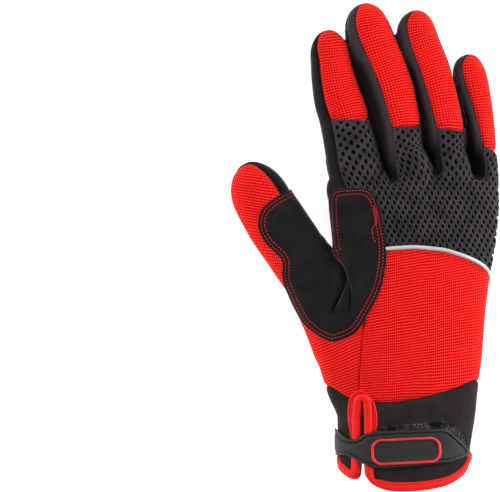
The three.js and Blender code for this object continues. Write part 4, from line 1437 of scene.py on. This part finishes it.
# Cloth coordinates of the panels, in millimetres
finger_u = np.zeros(len(points))
finger_v = np.zeros(len(points))
for i, f in enumerate(FINGERS):
    limb = limbs[f]
    k = np.argmin(np.abs(limb.middle[:, 1] - 152))
    around = (90 - angle) * math.radians(1) * (FINGER_WIDTH[f] + FINGER_DEPTH[f]) / 4
    finger_u = np.where(nearest == i, limb.middle[k, 0] + around * 0.88, finger_u)
    finger_v = np.where(nearest == i, arc + 152 - limb.s[k], finger_v)
onto_finger = smooth_step(148, 176, Y)
flow_u = smoothed((X + 0.22 * (Y - 152)) * 1.11 * (1 - onto_finger) + finger_u * onto_finger, links, 14)
flow_v = smoothed(Y * (1 - onto_finger) + finger_v * onto_finger, links, 14)
FLAT_UV = (X, Y)
BACK_UV = (X, Y - X * (0.05 + 0.12 * smooth_step(45, 85, Y)))
FINGER_UV = (finger_u, finger_v)
THUMB_UV = (X - 0.17 * Y, Y + 0.17 * X)
# Painted shade for the strips between the fingers, carried as their first cloth coordinate (a share, not
# millimetres): darker inwards from the finger back's edge, on the lower side and low in the slots, less
# so near the tips
tipness = 1 - smooth_step(10, 34, to_tip)
inward = (angle - end) * reach
strip_shade = smooth_step(0.3, 5 + 12 * tipness, inward) * (1 - 0.5 * tipness)
strip_shade = np.maximum(strip_shade, 1 - smooth_step(-0.45, 0.1, np.sin(np.radians(angle))))
slot_floor = np.choose(nearest, [CROTCHES[max(0, i - 1)][1] * GLOVE_LENGTH for i in range(4)])
strip_shade = np.maximum(strip_shade, 0.88 * (1 - smooth_step(8, 26, Y - slot_floor)))
STRIP_SHADE_UV = (strip_shade, finger_v)
SIDE_TURN = math.radians(24)
SIDE_UV = turned(X, Y, SIDE_TURN)

# Panels
HEM_ROWS = [("hem", 1.9, "hem_stitches")]
for f in FINGERS:
    panel("finger_back_" + f, KNIT, FINGER_UV, rows=HEM_ROWS, values={"hem": hem})
for name in FOURCHETTES:
    panel(name, STRETCH, STRIP_SHADE_UV, puff=0.1, dip=0.5)
panel("thumb_back", KNIT, THUMB_UV)
panel("thumb_front", LEATHER, THUMB_UV)
panel("thumb_side_panel", KNIT, SIDE_UV)
below_piping = {"below": -piping}
panel("back_panel", KNIT, BACK_UV, rows=[("below", 2.9, "piping_stitches")], values=below_piping)
panel("palm_panel", LEATHER, FLAT_UV)

# Layers on the palm
PAD_PUFF = 1.1


def pad(name, rows):
    field = distance_in(outline(rows), XY) + 2.0
    field = np.minimum(field, SPLIT_HEIGHT - 5 - Z)
    field = smoothed(field, links, 1)

    def shape(skin):
        return PAD_PUFF * (1 - np.exp(-np.maximum(skin.values["g"] - 3.9, 0) / 4))

    stitched = [("g", 1.8, "pad_stitches"), ("g", 3.7, "pad_stitches")]
    obj = layer(name, field, LEATHER, FLAT_UV, 0.35, 1.35, 0.9, stitched, shape=shape)


pad("finger_base_pad", FINGER_PAD_OUTLINE)
pad("heel_pad", HEEL_PAD_OUTLINE)
pad("thenar_pad", THENAR_PAD_OUTLINE)

# Saddle patch over the thumb's root
saddle = np.minimum(distance_in(outline(SADDLE_OUTLINE), XY), Z - SPLIT_HEIGHT + 8)
THUMB_EDGE = [(-0.63, 0.632), (-0.575, 0.585), (-0.52, 0.535), (-0.487, 0.502), (-0.455, 0.478)]
plain_edge = distance_to_line(outline(THUMB_EDGE, closed=False), XY)
stitched = plain_edge - saddle - 0.35
saddle = smoothed(saddle, links, 1)
layer("saddle_patch", saddle, LEATHER, FLAT_UV, 0.3, 1.3, 0.8,
      [("g", 1.6, "saddle_stitches", "stitched"), ("g", 3.4, "saddle_stitches", "stitched")],
      values={"stitched": stitched})


# Short runs of stitches on the saddle patch, listed as places seen from above
EXTRA_RUNS = [
    # places as (across, along)
    [(-0.221, 0.58), (-0.216, 0.565), (-0.213, 0.548),
     (-0.219, 0.539), (-0.235, 0.531), (-0.232, 0.519)],
    [(-0.214, 0.575), (-0.208, 0.555), (-0.211, 0.544)],
    [(-0.236, 0.533), (-0.229, 0.518), (-0.222, 0.508), (-0.216, 0.504)],
    [(-0.4545, 0.488), (-0.44, 0.478), (-0.42, 0.467)],
    [(-0.427, 0.489), (-0.42, 0.475), (-0.411, 0.458)],
]


def laid_run(places, lift):
    """A line of points on the form's upper side under places seen from above, with its normals."""
    line = hermite_line([(a * PALM_WIDTH, b * GLOVE_LENGTH) for a, b in places], step=0.5)
    upper = np.flatnonzero(Z > SPLIT_HEIGHT)
    found = [upper[np.argmin(((SEEN[upper] - p) ** 2).sum(1))] for p in line]
    middles = points[found].copy()
    for _ in range(4):
        middles[1:-1] = (middles[:-2] + middles[1:-1] + middles[2:]) / 3
    ups = normals[found]
    return middles + ups * lift, ups


for places in EXTRA_RUNS:
    middles, ups = laid_run(places, 1.45)
    chain = [(i, i + 1) for i in range(len(middles) - 1)]
    stitch_along("saddle_stitches", middles, ups, chain, least=1)

# The cuff, its bindings and the strap
panel("cuff", NEOPRENE, FLAT_UV, thickness=2.5, dip=0.9, puff=0.3)

BINDING_LEVELS = (0.15, 0.4, 0.8, 1.4, 2.0)
HEM_WIDTH = 5.2
HEM_STITCHES_AT = 3.9
WELT_WIDTH = 4.3
TAPE_STITCHES_AT = 1.15
free_edge = soft_min(mouth, slit, 5.0)

# The hem binding is folded round the cuff's edge, so its section is a full round
hem_zone = np.minimum(free_edge, HEM_WIDTH - mouth)
carried = {"edge": free_edge, "u": X, "v": Y}
skin, found = sheet_of(hem_zone, carried, BINDING_LEVELS, [("edge", HEM_STITCHES_AT)])
t = np.clip(skin.values["edge"] / HEM_WIDTH, 0, 1)
lift = 1.3 * arched(t, 2.6) - 1.4 * groove(t, 0.08)
lift = lift - 0.25 * groove(skin.values["edge"] - HEM_STITCHES_AT, 0.5)
lift -= 0.5 * groove(skin.values["g"], 0.35)
inner = -2.6 - 1.1 * arched(t, 2.6)
finish_piece(dressed("hem_binding", skin, lift, inner), TAPE, ["hem_binding"])
stitch_along("binding_stitches", raised(skin, lift), skin_normals(skin), found[0])

# The slit's binding is a round welt beside the slit with a flat tape round it
tape_edge = distance_in(outline(SLIT_BINDING_OUTLINE), XY)
arch = np.minimum(tape_edge, mouth - 4.9)
arch = np.minimum(np.minimum(arch, slit), Z - SPLIT_HEIGHT)
carried = {"slit": slit, "out": tape_edge, "u": X, "v": Y}
rows = [("slit", WELT_WIDTH), ("out", TAPE_STITCHES_AT), ("slit", WELT_WIDTH - 0.6)]
skin, found = sheet_of(arch, carried, BINDING_LEVELS, rows)
across_welt = np.clip(skin.values["slit"] / WELT_WIDTH, 0, 1)
welt = 0.5 + 1.75 * arched(across_welt, 2.4) * (across_welt < 1)
tape = 0.85 * rounded(skin.values["out"] / 0.8)
lift = np.where(across_welt < 1, welt, tape)
lift = lift - 0.25 * groove(skin.values["out"] - TAPE_STITCHES_AT, 0.45)
lift -= 0.6 * groove(skin.values["slit"] - WELT_WIDTH, 0.35)
binding = dressed("slit_binding", skin, lift, np.full(len(lift), -0.3))
finish_piece(binding, TAPE, ["slit_binding"])
keep = skin.values["slit"] > WELT_WIDTH
stitch_along("binding_stitches", raised(skin, lift), skin_normals(skin), found[1], keep)

rng = np.random.default_rng(7)
loop_zone = np.minimum(distance_in(outline(LOOP_PATCH_OUTLINE), SEEN) + 0.7, Z - SPLIT_HEIGHT)


def fuzz(skin):
    return rng.uniform(-0.5, 0.7, len(skin.points))


layer("loop_patch", loop_zone, LOOPS, FLAT_UV, 0.35, 1.2, 0.6, shape=fuzz)

strap_zone = np.minimum(distance_in(outline(STRAP_OUTLINE), SEEN), Z - SPLIT_HEIGHT + 1)
strap_zone = smoothed(strap_zone, links, 1)
BADGE_HALF = (17.2, 6.8)
BADGE_CORNER = 5.2
BADGE_TURN = math.radians(3)
BADGE_RIM = 1.35
STRAP_LOW = 1.9
bx = SEEN[:, 0] - BADGE_PLACE[0] * PALM_WIDTH
by = SEEN[:, 1] - BADGE_PLACE[1] * GLOVE_LENGTH
bx, by = turned(bx, by, BADGE_TURN)
cx = np.abs(bx) - BADGE_HALF[0] + BADGE_CORNER
cy = np.abs(by) - BADGE_HALF[1] + BADGE_CORNER
badge = BADGE_CORNER - np.hypot(np.maximum(cx, 0), np.maximum(cy, 0)) - np.minimum(np.maximum(cx, cy), 0)


def strap_shape(skin):
    g = skin.values["g"]
    step = 0.7 * smooth_step(2.0, 2.4, g)
    line = -0.8 * groove(g - 1.95, 0.3)
    frame_step = -0.45 * smooth_step(1.0, 1.5, skin.values["badge"])
    held_in = -2.3 * (1 - smooth_step(-40, -33, skin.points[:, 0]))
    return step + line + frame_step + held_in


layer("closure_strap", strap_zone, RUBBER, FLAT_UV, STRAP_LOW, STRAP_LOW + 1.5, 0.8,
      levels=(0.12, 0.35, 0.7, 1.1, 1.6, 1.95, 2.3, 2.6), shape=strap_shape, values={"badge": badge})
rim_zone = np.minimum(np.minimum(badge, BADGE_RIM - badge), Z - SPLIT_HEIGHT)
skin, _ = sheet_of(rim_zone, {"badge": badge, "u": X, "v": Y}, (0.1, 0.3))
g = skin.values["g"]
rim = STRAP_LOW + 1.85 + 0.75 * rounded(g / 0.5)
rim_frame = dressed("strap_badge_frame", skin, rim, np.full(len(g), STRAP_LOW + 1.4))
finish_piece(rim_frame, BADGE_RED, ["strap_badge_frame"])

# The silver piping
PIPING_RADIUS = 1.05
PIPING_FLATNESS = 0.85
PIPING_SIDES = 10
band = np.minimum(np.minimum(2.5 - np.abs(piping), plain + 3), np.minimum(outer + 1.5, 0.6 - saddle))
skin = surface_of(band, {**LIMB_VALUES, "piping": piping})
skin, _ = skin.cut("g", 0.0, above_only=True)
skin, segments = skin.cut("piping", 0.0)
line = max(chained(segments), key=len)
middle = raised(skin, np.full(len(skin.points), 0.25))[line]
ups = skin_normals(skin)[line]
for _ in range(6):
    middle[1:-1] = (middle[:-2] + 2 * middle[1:-1] + middle[2:]) / 4
pts = []
for k in range(len(middle)):
    way = middle[min(k + 1, len(middle) - 1)] - middle[max(k - 1, 0)]
    way /= np.linalg.norm(way)
    side = np.cross(way, ups[k])
    side /= np.linalg.norm(side)
    up = np.cross(side, way)
    for i in range(PIPING_SIDES):
        t = 2 * math.pi * i / PIPING_SIDES
        sideways = side * math.cos(t) * PIPING_RADIUS
        pts.append(middle[k] + sideways + up * math.sin(t) * PIPING_RADIUS * PIPING_FLATNESS)
faces = tube_faces(0, len(middle), PIPING_SIDES)
obj = made_mesh("reflective_piping", np.array(pts), faces)
finish_piece(obj, SILVER, ["reflective_piping"])

# The open mesh over the knuckles
HOLE_WIDTH = 1.4
HOLE_LENGTH = 2.3
HOLE_COLUMNS = 1.85
HOLE_PITCH = 4.8


def halved(skin):
    """Each face split into four-sided faces round its middle."""
    middles = {}
    pts = list(skin.points)
    vals = {k: list(v) for k, v in skin.values.items()}

    def mean_of(ids):
        pts.append(np.mean([pts[i] for i in ids], axis=0))
        for v in vals.values():
            v.append(sum(v[i] for i in ids) / len(ids))
        return len(pts) - 1

    faces = []
    for f in skin.faces:
        centre = mean_of(f)
        n = len(f)
        mids = []
        for k in range(n):
            key = tuple(sorted((f[k], f[(k + 1) % n])))
            if key not in middles:
                middles[key] = mean_of(key)
            mids.append(middles[key])
        for k in range(n):
            faces.append((mids[k - 1], f[k], mids[k], centre))
    return Skin(np.array(pts), faces, {k: np.array(v) for k, v in vals.items()})


def hole_field(u, v):
    """Distance in millimetres to the nearest hole's edge, negative inside the hole."""
    best = np.full(len(u), 1e9)
    for shift in (0, 1):
        du = u - (np.round(u / (2 * HOLE_COLUMNS) - shift / 2) + shift / 2) * 2 * HOLE_COLUMNS
        dv = v - (np.round(v / HOLE_PITCH - shift / 2) + shift / 2) * HOLE_PITCH
        size = np.sqrt((du / (HOLE_WIDTH / 2)) ** 2 + (dv / (HOLE_LENGTH / 2)) ** 2)
        away = (size - 1) * HOLE_WIDTH / 2
        best = np.minimum(best, away)
    return best


carried = {"u": flow_u, "v": flow_v}
skin, _ = sheet_of(FIELDS["knuckle_mesh"], carried, (0.4, 1.2))
# A near-black sheet just under the mesh: painted shade for the glove's inside that shows through the
# holes
hole_shade_sheet = Skin(skin.points.copy(), list(skin.faces), dict(skin.values))
g = hole_shade_sheet.values["g"]
sunk = -0.3 - 0.7 * groove(g, 1.0)
obj = dressed("mesh_hole_shade", hole_shade_sheet, sunk, sunk - 0.9)
finish_piece(obj, HOLE_SHADE)
skin = halved(skin)
skin.values["hole"] = np.maximum(hole_field(skin.values["u"], skin.values["v"]), 0.9 - skin.values["g"])
skin, _ = skin.cut("hole", 0.0, above_only=True)
skin = skin.tidied().main_part()
g, h = skin.values["g"], skin.values["hole"]
lift = 0.35 * (1 - np.exp(-g / 3.0)) - 0.8 * groove(g, 1.0)
lift = lift + 0.28 * (1 - np.exp(-np.maximum(h, 0) / 0.3))
obj = dressed("knuckle_mesh", skin, lift, lift - 0.75)
finish_piece(obj, MESH_YARN, ["knuckle_mesh"])

# All stitches, a mesh for each group
for group in stitch_rows:
    pts, faces = stitch_mesh(group)
    thread = THREAD if group in ("saddle_stitches", "pad_stitches") else BINDING_THREAD
    finish_piece(made_mesh(group, pts, faces), thread)

# Floor, light and camera
floor_mesh = bpy.data.meshes.new("floor")
bm = bmesh.new()
bmesh.ops.create_grid(bm, x_segments=1, y_segments=1, size=4)
bm.to_mesh(floor_mesh)
bm.free()
floor = bpy.data.objects.new("floor", floor_mesh)
bpy.context.scene.collection.objects.link(floor)
floor_material = bpy.data.materials.new("floor")
floor_material.use_nodes = True
floor_inputs = floor_material.node_tree.nodes["Principled BSDF"].inputs
floor_inputs["Base Color"].default_value = (0.6, 0.6, 0.6, 1)
floor_inputs["Roughness"].default_value = 0.9
floor_inputs["Emission Color"].default_value = (1, 1, 1, 1)
floor_inputs["Emission Strength"].default_value = 0.85
floor.data.materials.append(floor_material)

camera = bpy.data.objects.new("camera", bpy.data.cameras.new("camera"))
bpy.context.scene.collection.objects.link(camera)
camera.data.lens = LENS
camera.data.sensor_width = SENSOR
camera.location = (*((VIEW_MIDDLE - ORIGIN[:2]) * MM), VIEW_DISTANCE * MM)
camera.data.clip_end = 20
bpy.context.scene.camera = camera


def area_light(name, place, size, power, aim=(0, 0, 0.01)):
    lamp = bpy.data.lights.new(name, "AREA")
    lamp.size = size
    lamp.energy = power
    obj = bpy.data.objects.new(name, lamp)
    obj.location = place
    obj.rotation_mode = "QUATERNION"
    obj.rotation_quaternion = (Vector(aim) - Vector(place)).to_track_quat("-Z", "Y")
    bpy.context.scene.collection.objects.link(obj)


area_light("left", (-0.75, 0.1, 0.35), 0.6, 5)
area_light("right", (0.8, 0.1, 0.35), 0.6, 9)
area_light("top", (0.0, 0.5, 0.9), 0.6, 2.2)
world = bpy.data.worlds.new("studio")
world.use_nodes = True
world.node_tree.nodes["Background"].inputs["Color"].default_value = (1, 1, 1, 1)
world.node_tree.nodes["Background"].inputs["Strength"].default_value = 0.3
bpy.context.scene.world = world
bpy.context.scene.view_settings.view_transform = "Standard"
